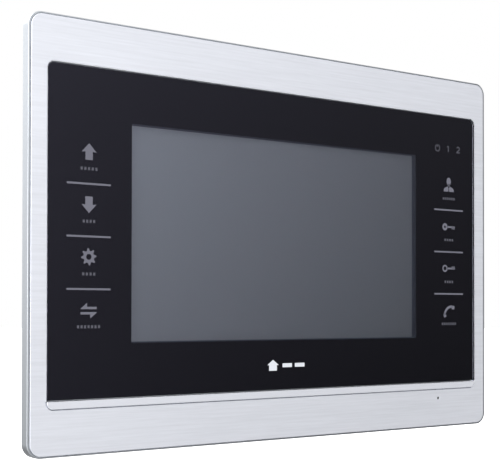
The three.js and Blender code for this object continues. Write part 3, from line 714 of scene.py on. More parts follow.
class INTERCOM_OT_finishes(bpy.types.Operator):
    """Builds the shared shader groups and every material"""

    bl_idname = "intercom.finishes"
    bl_label = "Finishes"

    def execute(self, context):
        front, screen = context.scene.intercom_front, context.scene.intercom_screen
        for label, maker in GROUP_MAKERS.items():
            GROUPS[label] = maker()
        plate = tuple(front.plate_colour)
        silver = tuple(front.frame_colour)
        grain = {"Contrast": 2.5}
        # colour, its darkest and lightest shade, bump, roughness and metallic share
        brushed = {
            "brushed_aluminium": (plate, 0.90, 1.06, 0.12, (0.40, 0.52), 0.6),
            "polished_trim": (plate, 0.99, 1.08, 0.03, (0.16, 0.24), 0.5),
            "silver_frame": (silver, 0.96, 1.03, 0.05, (0.28, 0.36), 1.0),
        }
        for label, (colour, dark, light, bump, gloss, metal) in brushed.items():
            low, high = shade(colour, dark), shade(colour, light)
            surface_material(label, low, high, "brushed", bump, 0.01, gloss, grain, Metallic=metal)
        inks = {
            "black_print": screen.print_colour,
            "printed_grey": screen.legend_colour,
            "printed_faint": shade(screen.legend_colour, 0.62),
            "printed_white": screen.mark_colour,
            "screen_border": screen.border_colour,
        }
        cells = {"Cells": 2500.0}
        for label, colour in inks.items():
            low, high = shade(colour, 0.94), shade(colour, 1.06)
            surface_material(
                label, low, high, "moulded", 0.0, 0.001, (0.42, 0.5), cells, Specular_IOR_Level=0.0
            )
        glass_material()
        picture_material(tuple(screen.picture_colour))
        board_material()
        # darker tone, lighter tone, cells per metre, roughness, bump and its depth in millimetres
        plastics = {
            "case_plastic": ((0.024, 0.025, 0.028), (0.033, 0.034, 0.037), 900.0, (0.50, 0.66), 0.35, 0.06),
            "chip_epoxy": ((0.010, 0.010, 0.011), (0.020, 0.020, 0.021), 2600.0, (0.45, 0.6), 0.2, 0.02),
            "socket_nylon": ((0.66, 0.65, 0.60), (0.76, 0.75, 0.70), 1800.0, (0.38, 0.5), 0.1, 0.02),
            "light_guide": ((0.80, 0.80, 0.78), (0.88, 0.88, 0.86), 1800.0, (0.3, 0.4), 0.05, 0.02),
            "clear_seal": ((0.62, 0.64, 0.68), (0.70, 0.72, 0.76), 1600.0, (0.35, 0.5), 0.1, 0.01),
            "soft_rubber": ((0.012, 0.012, 0.012), (0.022, 0.022, 0.022), 1400.0, (0.75, 0.9), 0.3, 0.04),
            "black_foam": ((0.010, 0.010, 0.010), (0.028, 0.028, 0.028), 1100.0, (0.85, 0.98), 0.8, 0.15),
            "paper_cone": ((0.012, 0.011, 0.010), (0.026, 0.024, 0.022), 1300.0, (0.8, 0.95), 0.6, 0.08),
            "wire_sleeve": ((0.010, 0.010, 0.011), (0.018, 0.018, 0.019), 2000.0, (0.42, 0.55), 0.1, 0.01),
            "relay_cover": ((0.022, 0.10, 0.34), (0.030, 0.13, 0.42), 2000.0, (0.35, 0.5), 0.1, 0.01),
            "amber_film": ((0.42, 0.15, 0.018), (0.56, 0.22, 0.03), 700.0, (0.2, 0.34), 0.05, 0.01),
            "label_foil": ((0.60, 0.61, 0.62), (0.68, 0.69, 0.70), 1600.0, (0.42, 0.55), 0.08, 0.01),
            "ferrite_black": ((0.030, 0.030, 0.032), (0.060, 0.060, 0.063), 1200.0, (0.5, 0.7), 0.4, 0.04),
        }
        for label, (low, high, cells, gloss, bump, depth) in plastics.items():
            surface_material(label, low, high, "moulded", bump, depth, gloss, {"Cells": cells})
        # darker tone, lighter tone, crystals per metre, roughness and bump
        metals = {
            "zinc_steel": ((0.46, 0.48, 0.50), (0.66, 0.68, 0.71), 260.0, (0.30, 0.46), 0.10),
            "screw_steel": ((0.42, 0.42, 0.42), (0.56, 0.56, 0.55), 900.0, (0.24, 0.38), 0.08),
            "tin_plate": ((0.56, 0.57, 0.58), (0.66, 0.67, 0.68), 700.0, (0.22, 0.34), 0.05),
        }
        for label, (low, high, scale, gloss, bump) in metals.items():
            crystals = {"Crystals": scale}
            surface_material(label, low, high, "plated", bump, 0.02, gloss, crystals, Metallic=1.0)
        return {"FINISHED"}


class INTERCOM_OT_face_plate(bpy.types.Operator):
    """Makes the brushed face plate with its rounded edges, its opening and the microphone hole"""

    bl_idname = "intercom.face_plate"
    bl_label = "Face plate"

    opening_edge = 0.12  # width of the rounded edge round the opening
    patch = 3.0  # half the square of flat metal around the microphone hole
    hole_sides = 32  # facets round the microphone hole
    hole_edge = 0.05  # width of the broken edge of the microphone hole
    gauze_depth, gauze_thickness = 0.18, 0.12  # depth below the face

    def execute(self, context):
        front = context.scene.intercom_front
        back, face = PLATE_HIGH[1], PLATE_LOW[1]
        steps = front.corner_steps
        edge = front.plate_edge / MM
        radius = front.plate_radius / MM
        inner_x, inner_z = opening_half(front)
        inner_radius = front.opening_radius / MM
        hole_x, hole_z, hole_radius = MIC_CENTRE[0], MIC_CENTRE[2], front.microphone_hole / MM
        stops = (hole_x - self.patch, hole_x + self.patch)

        def outer(inset):
            return centred(PLATE_HALF[0] - inset, PLATE_HALF[2] - inset, radius - inset, steps, stops)

        def inner(outset):
            return centred(inner_x + outset, inner_z + outset, inner_radius + outset, steps, stops)

        small = self.opening_edge
        rings = [at_depth(outer(0), back), *rounded(outer, edge, face)]
        rim, lip = outer(edge + HOLD), inner(small + HOLD)
        flat_low, flat_high = rim[:, 1].min(), lip[:, 1].min()
        for z in (hole_z - self.patch, hole_z + self.patch):
            share = (z - flat_low) / (flat_high - flat_low)
            rings.append(at_depth((1 - share) * rim + share * lip, face))
        first_row = len(rings) - 2
        turn = np.linspace(0, np.pi / 2, 5)
        rings.append(at_depth(lip, face))
        rings += [at_depth(inner(small * (1 - np.sin(a))), face + small * (1 - np.cos(a))) for a in turn]
        rings += [at_depth(inner(0), face + small + HOLD), at_depth(inner(0), back)]
        points, faces = loft(rings, closed=True)

        # the square around the hole: its face is taken out and four pieces run from its corners to the rim
        column = steps + 1
        size = len(rings[0])
        corners = [first_row * size + column, first_row * size + column + 1]
        corners += [corners[1] + size, corners[0] + size]
        faces = [f for f in faces if set(f) != set(corners)]
        sides, lower_left = self.hole_sides, 1.25 * np.pi
        mouth = circle(hole_x, hole_z, hole_radius + self.hole_edge, sides, lower_left)
        tube = circle(hole_x, hole_z, hole_radius, sides, lower_left)
        wall = [at_depth(mouth, face), at_depth(tube, face + self.hole_edge), at_depth(tube, back - 0.1)]
        hole_points, hole_faces = loft(wall)
        start = len(points)
        points = np.vstack((points, hole_points))
        faces += [[start + i for i in f] for f in hole_faces]
        quarter = sides // 4
        for side in range(4):
            arc_points = [start + (side * quarter + i) % sides for i in range(quarter + 1)]
            faces.append([corners[side], corners[(side + 1) % 4], *reversed(arc_points)])
        faces.append([start + 2 * sides + i for i in range(sides)])
        piece = put_mesh("face_plate_metal", (points, faces))
        finish_piece(piece, MATERIALS["brushed_aluminium"], "monitor", "brushed_face", ["face_plate"])

        gauze_face = face + self.gauze_depth
        disc = circle(hole_x, hole_z, hole_radius * 0.98, sides)
        gauze = slab(disc, gauze_face + self.gauze_thickness, gauze_face)
        cover = put_mesh("microphone_gauze", gauze)
        finish_piece(cover, MATERIALS["black_foam"], "monitor", "foam")
        return {"FINISHED"}


class INTERCOM_OT_side_frame(bpy.types.Operator):
    """Makes the silver frame: outer wall, bright front edge, groove, web, glass ledge and screw bosses"""

    bl_idname = "intercom.side_frame"
    bl_label = "Side frame"

    wall = 2.0  # thickness of the outer wall
    web_back, ledge = 22.4, 23.7  # heights above the wall of the web's back and of the glass ledge
    window = (-112.0, 112.0, -60.0, 61.5)
    seam = -20.7  # where the frame meets the rear housing
    seam_edge = 0.1  # width of the broken edge at that seam
    boss_ends = {"case_screw": -18.9, "strap_screw": -16.9}

    def bosses(self):
        """Tubes for the case screws and the strap screws, one surface of revolution each."""
        for kind, radius, bore, count in (("case_screw", 3.6, 1.75, 6), ("strap_screw", 2.8, 1.3, 4)):
            for number in range(1, count + 1):
                low, high = box_mm(f"{kind}_{number}")
                centre = (low + high) / 2
                base, end = self.boss_ends[kind], -self.web_back - 0.4
                yield revolve([(bore, base), (radius, base), (radius, end), (bore, end)], centre, 24)

    def execute(self, context):
        front = context.scene.intercom_front
        steps = front.corner_steps
        radius, edge, groove = (v / MM for v in (front.frame_radius, front.frame_edge, front.groove))
        rim, seam = FRAME_LOW[1], self.seam
        pocket_radius = front.plate_radius / MM + groove

        def outer(inset):
            return centred(FRAME_HALF[0] - inset, FRAME_HALF[2] - inset, radius - inset, steps)

        pocket = centred(PLATE_HALF[0] + groove, PLATE_HALF[2] + groove, pocket_radius, steps)
        inner_x, inner_z = opening_half(front)
        seat = centred(inner_x + 0.4, inner_z + 0.4, front.opening_radius / MM, steps)
        window = outline(*self.window, [4.0] * 4, steps)
        hollow = centred(FRAME_HALF[0] - self.wall, FRAME_HALF[2] - self.wall, radius - self.wall, steps)
        plate_back = PLATE_HIGH[1] + 0.05
        chamfer = seam - self.seam_edge
        rings = [
            at_depth(hollow, seam),
            at_depth(outer(self.seam_edge), seam),
            at_depth(outer(0), chamfer),
            at_depth(outer(0), chamfer - HOLD),
            *rounded(outer, edge, rim, 7),
            at_depth(pocket, rim),
            at_depth(pocket, plate_back),
            at_depth(seat, plate_back),
            at_depth(seat, -self.ledge),
            at_depth(window, -self.ledge),
            at_depth(window, -self.web_back),
            at_depth(hollow, -self.web_back),
        ]
        piece = put_mesh("side_frame", join_surfaces(loft(rings, closed=True), *self.bosses()))
        finish_piece(piece, MATERIALS["silver_frame"], "monitor", "silver_frame", ["front_frame"])
        return {"FINISHED"}


class INTERCOM_OT_trim(bpy.types.Operator):
    """Makes the bright bar under the glass"""

    bl_idname = "intercom.trim"
    bl_label = "Trim bar"

    lower_radius, upper_radius = 2.4, 0.3
    edge = 0.1  # width of the rounded edge
    play = 0.12  # more room than the packed bar has at its ends and below

    def execute(self, context):
        front = context.scene.intercom_front
        steps = front.corner_steps
        left, back, bottom = TRIM_LOW[0] + self.play, TRIM_HIGH[1], TRIM_LOW[2] + self.play
        right, face, top = TRIM_HIGH[0] - self.play, TRIM_LOW[1], TRIM_HIGH[2]

        def bar(inset):
            lower, upper = self.lower_radius - inset, max(self.upper_radius - inset, 0.05)
            radii = [lower, lower, upper, upper]
            return outline(left + inset, right - inset, bottom + inset, top - inset, radii, steps)

        rings = [at_depth(bar(0), back), *rounded(bar, self.edge, face)]
        piece = put_mesh("trim_strip", loft(rings, capped=True))
        finish_piece(piece, MATERIALS["polished_trim"], "monitor", "brushed_face", ["trim_bar"])
        return {"FINISHED"}


class INTERCOM_OT_glass(bpy.types.Operator):
    """Makes the touch glass, the black print with its window behind it, and the pale seal around it"""

    bl_idname = "intercom.glass"
    bl_label = "Glass and print"

    lower_radius = 0.6  # the glass's lower corners
    window_radius = 0.15
    print_lap = 0.03  # how far the print reaches into the glass
    seal_sides = (0.01, 0.29)  # the seal's outer and inner distance from the opening
    seal_sink, seal_foot = 0.05, 0.2  # below the plate's face, and behind the glass's back

    def execute(self, context):
        front, screen = context.scene.intercom_front, context.scene.intercom_screen
        steps = front.corner_steps
        radius, edge = screen.glass_radius / MM, screen.glass_edge / MM
        face, back = GLASS_LOW[1], GLASS_HIGH[1]

        def pane(inset, low=GLASS_LOW, high=GLASS_HIGH):
            upper, lower = max(radius - inset, 0.1), max(self.lower_radius - inset, 0.1)
            radii = [lower, lower, upper, upper]
            return outline(low[0] + inset, high[0] - inset, low[2] + inset, high[2] - inset, radii, steps)

        rings = [at_depth(pane(0), back), *rounded(pane, edge, face, 5)]
        glass = put_mesh("touch_panel", loft(rings, capped=True))
        finish_piece(glass, MATERIALS["touch_glass"], "monitor", "glass", ["touch_glass"])

        half_x, half_z = screen.window_width / MM / 2, screen.window_height / MM / 2
        x, z = CELL_CENTRE[0], CELL_CENTRE[2]
        window = outline(x - half_x, x + half_x, z - half_z, z + half_z, [self.window_radius] * 4, steps)
        sheet = pane(0, MASK_LOW, MASK_HIGH)
        print_piece = put_mesh("black_mask", washer(sheet, window, MASK_HIGH[1], back - self.print_lap))
        finish_piece(print_piece, MATERIALS["black_print"], "monitor", "black_print", ["mask_film"])

        inner_x, inner_z = opening_half(front)
        inner_radius = front.opening_radius / MM
        rims = []
        for inset in self.seal_sides:
            ring = centred(inner_x - inset, inner_z - inset, inner_radius - inset, steps)
            above = ring[steps + 1 :][ring[steps + 1 :, 1] > 0]
            ends = [(above[0, 0], GLASS_LOW[2]), (above[-1, 0], GLASS_LOW[2])]
            rims.append(np.vstack((ends[:1], above, ends[1:])))
        strip = np.vstack((rims[0], rims[1][::-1]))
        seal = put_mesh("glass_seal", slab(strip, back - self.seal_foot, FACE_Y + self.seal_sink))
        finish_piece(seal, MATERIALS["clear_seal"], "monitor", "rubber")
        return {"FINISHED"}


class INTERCOM_OT_screen(bpy.types.Operator):
    """Makes the screen: its dark border and the grey area that shows the picture"""

    bl_idname = "intercom.screen"
    bl_label = "Screen"

    skin = 0.03  # how far the picture stands in front of its border
    border_radius, picture_radius = 0.3, 0.05

    def execute(self, context):
        screen = context.scene.intercom_screen
        low, high = CELL_LOW, CELL_HIGH
        border = outline(low[0], high[0], low[2], high[2], [self.border_radius] * 4, 4)
        cell = put_mesh("screen_cell", slab(border, high[1], low[1] + self.skin))
        finish_piece(cell, MATERIALS["screen_border"], "monitor", "screen", ["lcd_cell"])

        half_x, half_z = screen.active_width / MM / 2, screen.active_height / MM / 2
        x, z = CELL_CENTRE[0], CELL_CENTRE[2]
        area = outline(x - half_x, x + half_x, z - half_z, z + half_z, [self.picture_radius] * 4, 2)
        picture = put_mesh("screen_picture", slab(area, low[1] + self.skin + 0.01, low[1]))
        finish_piece(picture, MATERIALS["screen_picture"], "monitor", "screen")
        return {"FINISHED"}


# ------------------------------------------------------------------ printed keys


def arrow_up(x, z):
    """A block arrow that points up, about its middle."""
    shape = [(-1.6, -3.1), (1.6, -3.1), (1.6, 0.1), (3.3, -0.1), (0, 3.35), (-3.3, -0.1), (-1.6, 0.1)]
    return [np.array(shape) + (x, z)]


def arrow_down(x, z):
    """The same arrow turned over."""
    return [(arrow_up(0, 0)[0] * (1, -1))[::-1] + (x, z)]


def swap_arrows(x, z):
    """Two bars with half an arrow head each: the upper points left, the lower right."""
    upper = np.array([(-3.5, 0.55), (3.5, 0.55), (3.5, 1.5), (-0.7, 1.5), (-0.7, 3.05), (-3.5, 0.75)])
    return [upper + (x, z), (upper * (-1, -1)) + (x, z)]


def person(x, z):
    """Head, an oval, and shoulders with an open collar."""
    head = circle(0, 0, 1.0, 28) * (1.45, 1.95) + (x, z + 1.5)
    neck = [(-0.75, -0.8), (0.75, -0.8), (0.6, 0.2), (-0.6, 0.2)]
    left = [(-3.4, -3.4), (-0.35, -3.4), (-0.15, -1.6), (-0.9, -0.9), (-2.9, -1.75), (-3.4, -2.5)]
    right = [(-a, b) for a, b in reversed(left)]
    return [head, *[np.array(p) + (x, z) for p in (neck, left, right)]]


def key_parts(x, z, bit):
    """A key's shaft and the bits at its tip; bit is 1 for bits above the shaft and -1 for below."""
    shaft = stroke([(x - 1.2, z), (x + 4.2, z)], 0.85)
    bits = [stroke([(x + a, z), (x + a, z + bit * long)], 0.8) for a, long in ((2.4, 1.0), (3.6, 1.1))]
    return [shaft, *bits]


def handset(x, z):
    """A telephone handset: a short thick arc with a block at each end."""
    bow = stroke(arc(x + 1.7, z - 2.6, 4.6, 84, 170, 14), 1.2)
    blocks = [((2.0, 1.6), (3.8, 1.5)), ((-3.4, -2.6), (-1.9, -1.9))]
    return [bow, *[stroke(np.array(ends) + (x, z), 1.7) for ends in blocks]]


def digit_one(x, z):
    """An upright with a short flag."""
    flag, upright = [(x - 0.7, z + 0.85), (x + 0.3, z + 1.45)], [(x + 0.35, z - 1.5), (x + 0.35, z + 1.5)]
    return [stroke(flag, 0.45), stroke(upright, 0.5)]


def digit_two(x, z):
    """A bow that runs down to the left end of the foot."""
    curve = np.vstack((arc(x, z + 0.62, 0.85, 170, -35, 12), [(x - 0.95, z - 1.25)]))
    return [stroke(curve, 0.5), stroke([(x - 1.25, z - 1.3), (x + 1.25, z - 1.3)], 0.5)]


def gear_outline(x, z, teeth=8, root=2.35, tip=3.35):
    """A gear: the radius steps between root and tip with straight flanks, once for each tooth."""
    angle = np.linspace(0, 2 * np.pi, teeth * 4, endpoint=False) - np.pi / teeth / 2
    radius = np.tile([root, tip, tip, root], teeth)
    bend = np.tile([0.0, 0.03, -0.03, 0.0], teeth)
    return np.column_stack((x + radius * np.cos(angle + bend), z + radius * np.sin(angle + bend)))


def label_dashes(x, z, width):
    """A row of small blocks in place of a printed word, centred on x."""
    count = max(3, round(width / 1.55))
    pitch = width / count
    middles = x - width / 2 + pitch * (np.arange(count) + 0.5)
    block = np.array([(-0.3, -0.6), (0.3, -0.6), (0.3, 0.6), (-0.3, 0.6)]) * (pitch, 1)
    return [block + (m, z) for m in middles]


class INTERCOM_OT_legends(bpy.types.Operator):
    """Prints the key symbols, the lines between them, the status marks and the front mark"""

    bl_idname = "intercom.legends"
    bl_label = "Printed keys"

    label_widths = {"left": (8.0, 6.0, 6.4, 10.6), "right": (8.6, 6.6, 6.4, 10.2)}
    line_reach = {"left": 9.6, "right": 9.8}  # half the length of the lines between the keys
    line_drop, line_width = 0.607, 0.75  # the drop is a share of the row pitch
    status_height = 49.95
    status_places = (90.7, 97.7, 104.8)
    mark_place = (-9.1, -51.9)
    mark_bars = ((-3.9, 1.3), (2.9, 8.3))

    def execute(self, context):
        keys = context.scene.intercom_keys
        ink = keys.ink / MM
        face = GLASS_LOW[1]
        back, front = face + ink, face - ink
        left, right = keys.left_column / MM, keys.right_column / MM
        top, pitch, drop = keys.first_row / MM, keys.row_pitch / MM, keys.label_drop / MM
        rows = [top - pitch * i for i in range(4)]

        def printed(name, shapes, rings=(), material="printed_grey"):
            parts = [slab(s, back, front) for s in shapes]
            parts += [washer(outer, inner, back, front) for outer, inner in rings]
            piece = put_mesh(name, join_surfaces(*parts))
            finish_piece(piece, MATERIALS[material], "monitor", "label")

        shapes = arrow_up(left, rows[0]) + arrow_down(left, rows[1]) + swap_arrows(left, rows[3] - 0.3)
        hole = circle(left, rows[2] + 0.1, 1.15, 32)
        printed("key_symbols_left", shapes, [(gear_outline(left, rows[2] + 0.1), hole)])
        shapes = person(right, rows[0]) + key_parts(right, rows[1] - 0.2, -1) + key_parts(right, rows[2], 1)
        shapes += handset(right, rows[3] - 0.2)
        bows = [(right - 2.6, rows[1] - 0.2, 0.6), (right - 2.6, rows[2], 0.95)]
        rings = [(circle(a, b, 1.75), circle(a, b, c)) for a, b, c in bows]
        printed("key_symbols_right", shapes, rings)

        dashes, lines = [], []
        for side, x in (("left", left), ("right", right)):
            for row, width in enumerate(self.label_widths[side]):
                lift = -0.3 if (side, row) == ("right", 0) else 0.0
                dashes += label_dashes(x, rows[row] + lift - drop, width)
            reach = self.line_reach[side]
            for row in range(3):
                z = top - pitch * (row + self.line_drop)
                lines.append(stroke([(x - reach, z), (x + reach, z)], self.line_width))
        printed("key_labels", dashes, material="printed_faint")
        printed("key_lines", lines)

        ring_x, one_x, two_x = self.status_places
        z = self.status_height
        power = [stroke(arc(ring_x, z, 1.5, -248, 68, 24), 0.45)]
        power.append(stroke([(ring_x, z + 0.4), (ring_x, z + 1.9)], 0.4))
        printed("status_marks", power + digit_one(one_x, z) + digit_two(two_x, z), material="printed_faint")

        house = np.array([(-2.1, -2.4), (2.1, -2.4), (2.1, 0), (3.1, 0), (0, 2.3), (-3.1, 0), (-2.1, 0)])
        house += self.mark_place
        bar_z = self.mark_place[1] - 0.2
        bars = [stroke([(start, bar_z), (end, bar_z)], 1.7) for start, end in self.mark_bars]
        printed("front_mark", [house, *bars], material="printed_white")
        return {"FINISHED"}


# ------------------------------------------------------------------ back and inside

FITTED = {
    # node: (material, record slot, width of the rounded edges in millimetres)
    "rear_housing": ("case_plastic", "housing", 0.25),
    "bracket_plate": ("zinc_steel", "zinc_steel", 0.12),
    "power_switch_body": ("tin_plate", "tin_plate", 0.2),
    "power_switch_knob": ("chip_epoxy", "chip", 0.12),
    "rating_label": ("label_foil", "label", 0.0),
    "lcd_bezel": ("tin_plate", "tin_plate", 0.08),
    "lcd_backlight": ("light_guide", "white_plastic", 0.2),
    "lcd_gasket": ("black_foam", "foam", 0.15),
    "lcd_flex": ("amber_film", "film", 0.0),
    "screen_strap_left": ("zinc_steel", "zinc_steel", 0.1),
    "screen_strap_right": ("zinc_steel", "zinc_steel", 0.1),
    "diffuser_left": ("light_guide", "white_plastic", 0.05),
    "diffuser_right": ("light_guide", "white_plastic", 0.05),
    "key_ribbon_left": ("amber_film", "film", 0.0),
    "key_ribbon_right": ("amber_film", "film", 0.0),
    "processor": ("chip_epoxy", "chip", 0.06),
    "video_decoder": ("chip_epoxy", "chip", 0.06),
    "flash_memory": ("chip_epoxy", "chip", 0.06),
    "radio_shield": ("tin_plate", "tin_plate", 0.12),
    "power_inductor": ("ferrite_black", "ferrite", 0.2),
    "capacitor_1": ("tin_plate", "tin_plate", 0.15),
    "capacitor_2": ("tin_plate", "tin_plate", 0.15),
    "door_relay": ("relay_cover", "relay", 0.2),
    "speaker_basket": ("tin_plate", "tin_plate", 0.15),
    "speaker_magnet": ("ferrite_black", "ferrite", 0.2),
    "speaker_gasket": ("black_foam", "foam", 0.1),
    "microphone": ("tin_plate", "tin_plate", 0.1),
    "microphone_boot": ("soft_rubber", "rubber", 0.15),
    "speaker_lead": ("wire_sleeve", "wire", 0.0),
    "microphone_lead": ("wire_sleeve", "wire", 0.0),
    "switch_lead": ("wire_sleeve", "wire", 0.0),
}
BODY_OF = {name: body for body, names in frame["record"]["behaviour"]["bodies"].items() for name in names}


class INTERCOM_OT_case(bpy.types.Operator):
    """Gives the rear housing, bracket, switch and inner pieces rounded edges and their finishes"""

    bl_idname = "intercom.case"
    bl_label = "Case, bracket and inner pieces"

    def execute(self, context):
        for name, (material, slot, bevel) in FITTED.items():
            refined(name, bevel, MATERIALS[material], BODY_OF[name], slot)
        return {"FINISHED"}


class INTERCOM_OT_screws(bpy.types.Operator):
    """Makes every screw: a domed head with a cross recess, and a threaded shank"""

    bl_idname = "intercom.screws"
    bl_label = "Screws"

    sides = 40
    pitch = 1.1  # distance from thread to thread
    case_seat = -4.95  # the underside of the case screws' heads
    ribbon_sockets = 0.35  # height of the small sockets on the front of the board
    gap = 0.05  # between the board and the heads of its screws

    def screw(self, name, seat):
        """The radius follows a quarter ellipse over the head, and a saw-tooth of the thread pitch down
        the shank. In the middle of the head the depth grows where either cross arm is near."""
        low, high = box_mm(name)
        centre = (low + high) / 2
        head_radius = (high[0] - low[0]) / 2
        outward = 1.0 if name.startswith("case") else -1.0
        end = high[1] if outward > 0 else low[1]
        tip = low[1] if outward > 0 else high[1]
        height = abs(end - seat)
        turn = np.linspace(0, np.pi / 2, 8)
        reach = np.concatenate(([0.02, 0.14, 0.28, 0.42, 0.52, 0.62], 0.62 + 0.38 * np.sin(turn)[1:]))
        rise = np.concatenate((np.ones(6), np.cos(turn)[1:] ** 0.6))
        shank = head_radius * 0.48
        length = abs(seat - tip) - shank
        turns = int(length / self.pitch)
        saw = np.tile([shank, shank * 0.8], turns)
        depth = np.linspace(0, length, 2 * turns)
        radius = np.concatenate((reach * head_radius, [shank], saw, [0.03]))
        y = np.concatenate((seat + outward * height * rise, [seat], seat - outward * depth, [tip]))
        points, faces = revolve(np.column_stack((radius, y)), centre, self.sides, closed=False)
        x, z = points[:, 0] - centre[0], points[:, 2] - centre[2]
        arm = np.minimum(np.abs(x), np.abs(z))
        away = np.hypot(x, z) / head_radius
        recess = np.clip((0.24 - arm / head_radius) / 0.1, 0, 1) * np.clip((0.60 - away) / 0.12, 0, 1)
        on_head = (points[:, 1] - seat) * outward > height * 0.6
        points[:, 1] -= np.where(on_head, recess * height * 0.55 * outward, 0)
        return points, faces

    def execute(self, context):
        steel = MATERIALS["screw_steel"]
        board_seat = box_mm("main_board")[0][1] + self.ribbon_sockets - self.gap
        seats = {"case": self.case_seat, "board": board_seat}
        for name in sorted(n for n in frame["nodes"] if "_screw_" in n):
            family = name.split("_")[0]
            if family in seats:
                piece = put_mesh(name + "_piece", self.screw(name, seats[family]))
                finish_piece(piece, steel, "monitor", "zinc_steel", [name])
            else:
                refined(name, 0.1, steel, "monitor", "zinc_steel")
        return {"FINISHED"}


class INTERCOM_OT_boards(bpy.types.Operator):
    """Finishes the circuit boards, with their parts and sockets in their own materials"""

    bl_idname = "intercom.boards"
    bl_label = "Circuit boards"

    board_front, board_back = -13.2, -11.6
    key_board_thickness = 1.2
    clear = 0.02  # a face further than this from the board belongs to a part on it

    def execute(self, context):
        behind, before = self.board_back + self.clear, self.board_front - self.clear
        board = refined("main_board", 0.06, MATERIALS["circuit_board"], "monitor", "board")
        faces_where(board, lambda m: m[:, 1] > behind, MATERIALS["chip_epoxy"])
        faces_where(board, lambda m: m[:, 1] < before, MATERIALS["socket_nylon"])
        for name in ("key_board_left", "key_board_right"):
            keys = refined(name, 0.06, MATERIALS["circuit_board"], "monitor", "board")
            behind = box_mm(name)[0][1] + self.key_board_thickness + self.clear
            faces_where(keys, lambda m, y=behind: m[:, 1] > y, MATERIALS["chip_epoxy"])
        return {"FINISHED"}


class INTERCOM_OT_sockets(bpy.types.Operator):
    """Finishes the four plug sockets behind the cable hole, with tin-plated pins"""

    bl_idname = "intercom.sockets"
    bl_label = "Plug sockets"

    pin_pitch = 2.5
    pin_half = 0.34  # half the width of a pin
    floor = 1.7  # height of the socket's floor, where the pins come out

    def execute(self, context):
        for name in ("door_header_1", "door_header_2", "intercom_header", "power_header"):
            low, high = box_mm(name)
            piece = refined(name, 0.12, MATERIALS["socket_nylon"], "monitor", "white_plastic")
            middle, row = (low[0] + high[0]) / 2, (low[2] + high[2]) / 2
            pins = 4 if high[0] - low[0] > 10 else 2
            places = middle + (np.arange(pins) - (pins - 1) / 2) * self.pin_pitch

            def on_pin(m):
                near = np.abs(m[:, :1] - places).min(axis=1) < self.pin_half
                return near & (np.abs(m[:, 2] - row) < self.pin_half) & (m[:, 1] > low[1] + self.floor)

            faces_where(piece, on_pin, MATERIALS["tin_plate"])
        return {"FINISHED"}


class INTERCOM_OT_speaker(bpy.types.Operator):
    """Makes the speaker's cone with its rolled edge and dust cap"""

    bl_idname = "intercom.speaker"
    bl_label = "Speaker cone"

    def execute(self, context):
        back, front = CONE_HIGH[1], CONE_LOW[1]
        outer = (CONE_HIGH[0] - CONE_LOW[0]) / 2
        cap = np.linspace(0, 1, 8)
        roll = np.linspace(0, np.pi, 10)
        # the side to the wall: a cap that falls with the square of the radius, the straight cone, and a
        # half-round roll; then the flat rim, and the same three backwards on the other side
        cone = [(4.9 * c, back - 0.35 - 1.0 * (c**2)) for c in cap]
        cone += [(5.0, front + 0.25), (10.9, back - 0.35)]
        cone += [(12.05 - 0.95 * math.cos(a), back - 0.35 + 0.3 * math.sin(a)) for a in roll]
        cone += [(outer, back - 0.3), (outer, back - 0.5)]
        cone += [(12.05 + 0.8 * math.cos(a), back - 0.6 + 0.3 * math.sin(a)) for a in roll]
        cone += [(10.9, back - 0.62), (5.0, front), (4.4, front)]
        cone += [(4.4 * c, back - 0.65 - 0.9 * (c**2)) for c in cap[::-1][1:]]
        piece = put_mesh("speaker_cone_piece", revolve(cone, CONE_CENTRE, 72, closed=False))
        finish_piece(piece, MATERIALS["paper_cone"], "speaker_cone", "paper_cone", ["speaker_cone"], 50.0)
        return {"FINISHED"}


class INTERCOM_OT_back_marks(bpy.types.Operator):
    """Prints the frame and the ruled lines of the blank rating label"""

    bl_idname = "intercom.back_marks"
    bl_label = "Marks on the back"

    margin = 1.5  # clear foil around the printed frame
    line, ink = 0.3, 0.02  # width of the frame's line, and half the thickness of the ink
    ruled = (0.3, 0.55, 0.78)  # heights of the ruled lines, as shares of the frame

    def execute(self, context):
        low, high = box_mm("rating_label")
        under, over = high[1] - self.ink, high[1] + self.ink
        x0, x1 = low[0] + self.margin, high[0] - self.margin
        z0, z1 = low[2] + self.margin, high[2] - self.margin
        outer = outline(x0, x1, z0, z1, [0.8] * 4, 6)
        inner = outline(x0 + self.line, x1 - self.line, z0 + self.line, z1 - self.line, [0.55] * 4, 6)
        parts = [washer(outer, inner, under, over)]
        for share in self.ruled:
            z = z0 + share * (z1 - z0)
            parts.append(slab(stroke([(x0 + 2, z), (x1 - 2, z)], 0.35), under, over))
        piece = put_mesh("label_lines", join_surfaces(*parts))
        finish_piece(piece, MATERIALS["printed_grey"], "monitor", "label")
        return {"FINISHED"}


# ------------------------------------------------------------------ stage


SOFT_LIGHTS = (
    # degrees to the right of straight ahead, degrees up, brightness
    (0, 0, 0.5), (-35, 0, 2.25), (-70, 0, 1.13), (150, 0, 0.65), (180, 18, 2.0),
    (0, 38, 0.51), (35, 38, 0.49), (-35, 38, 2.83), (-70, 38, 1.38), (-110, 38, 0.67), (180, 38, 0.39),
    (-40, -30, 0.6), (105, 5, 0.8),
)
SOFTNESS = 8.0  # how quickly each light fades away from its middle


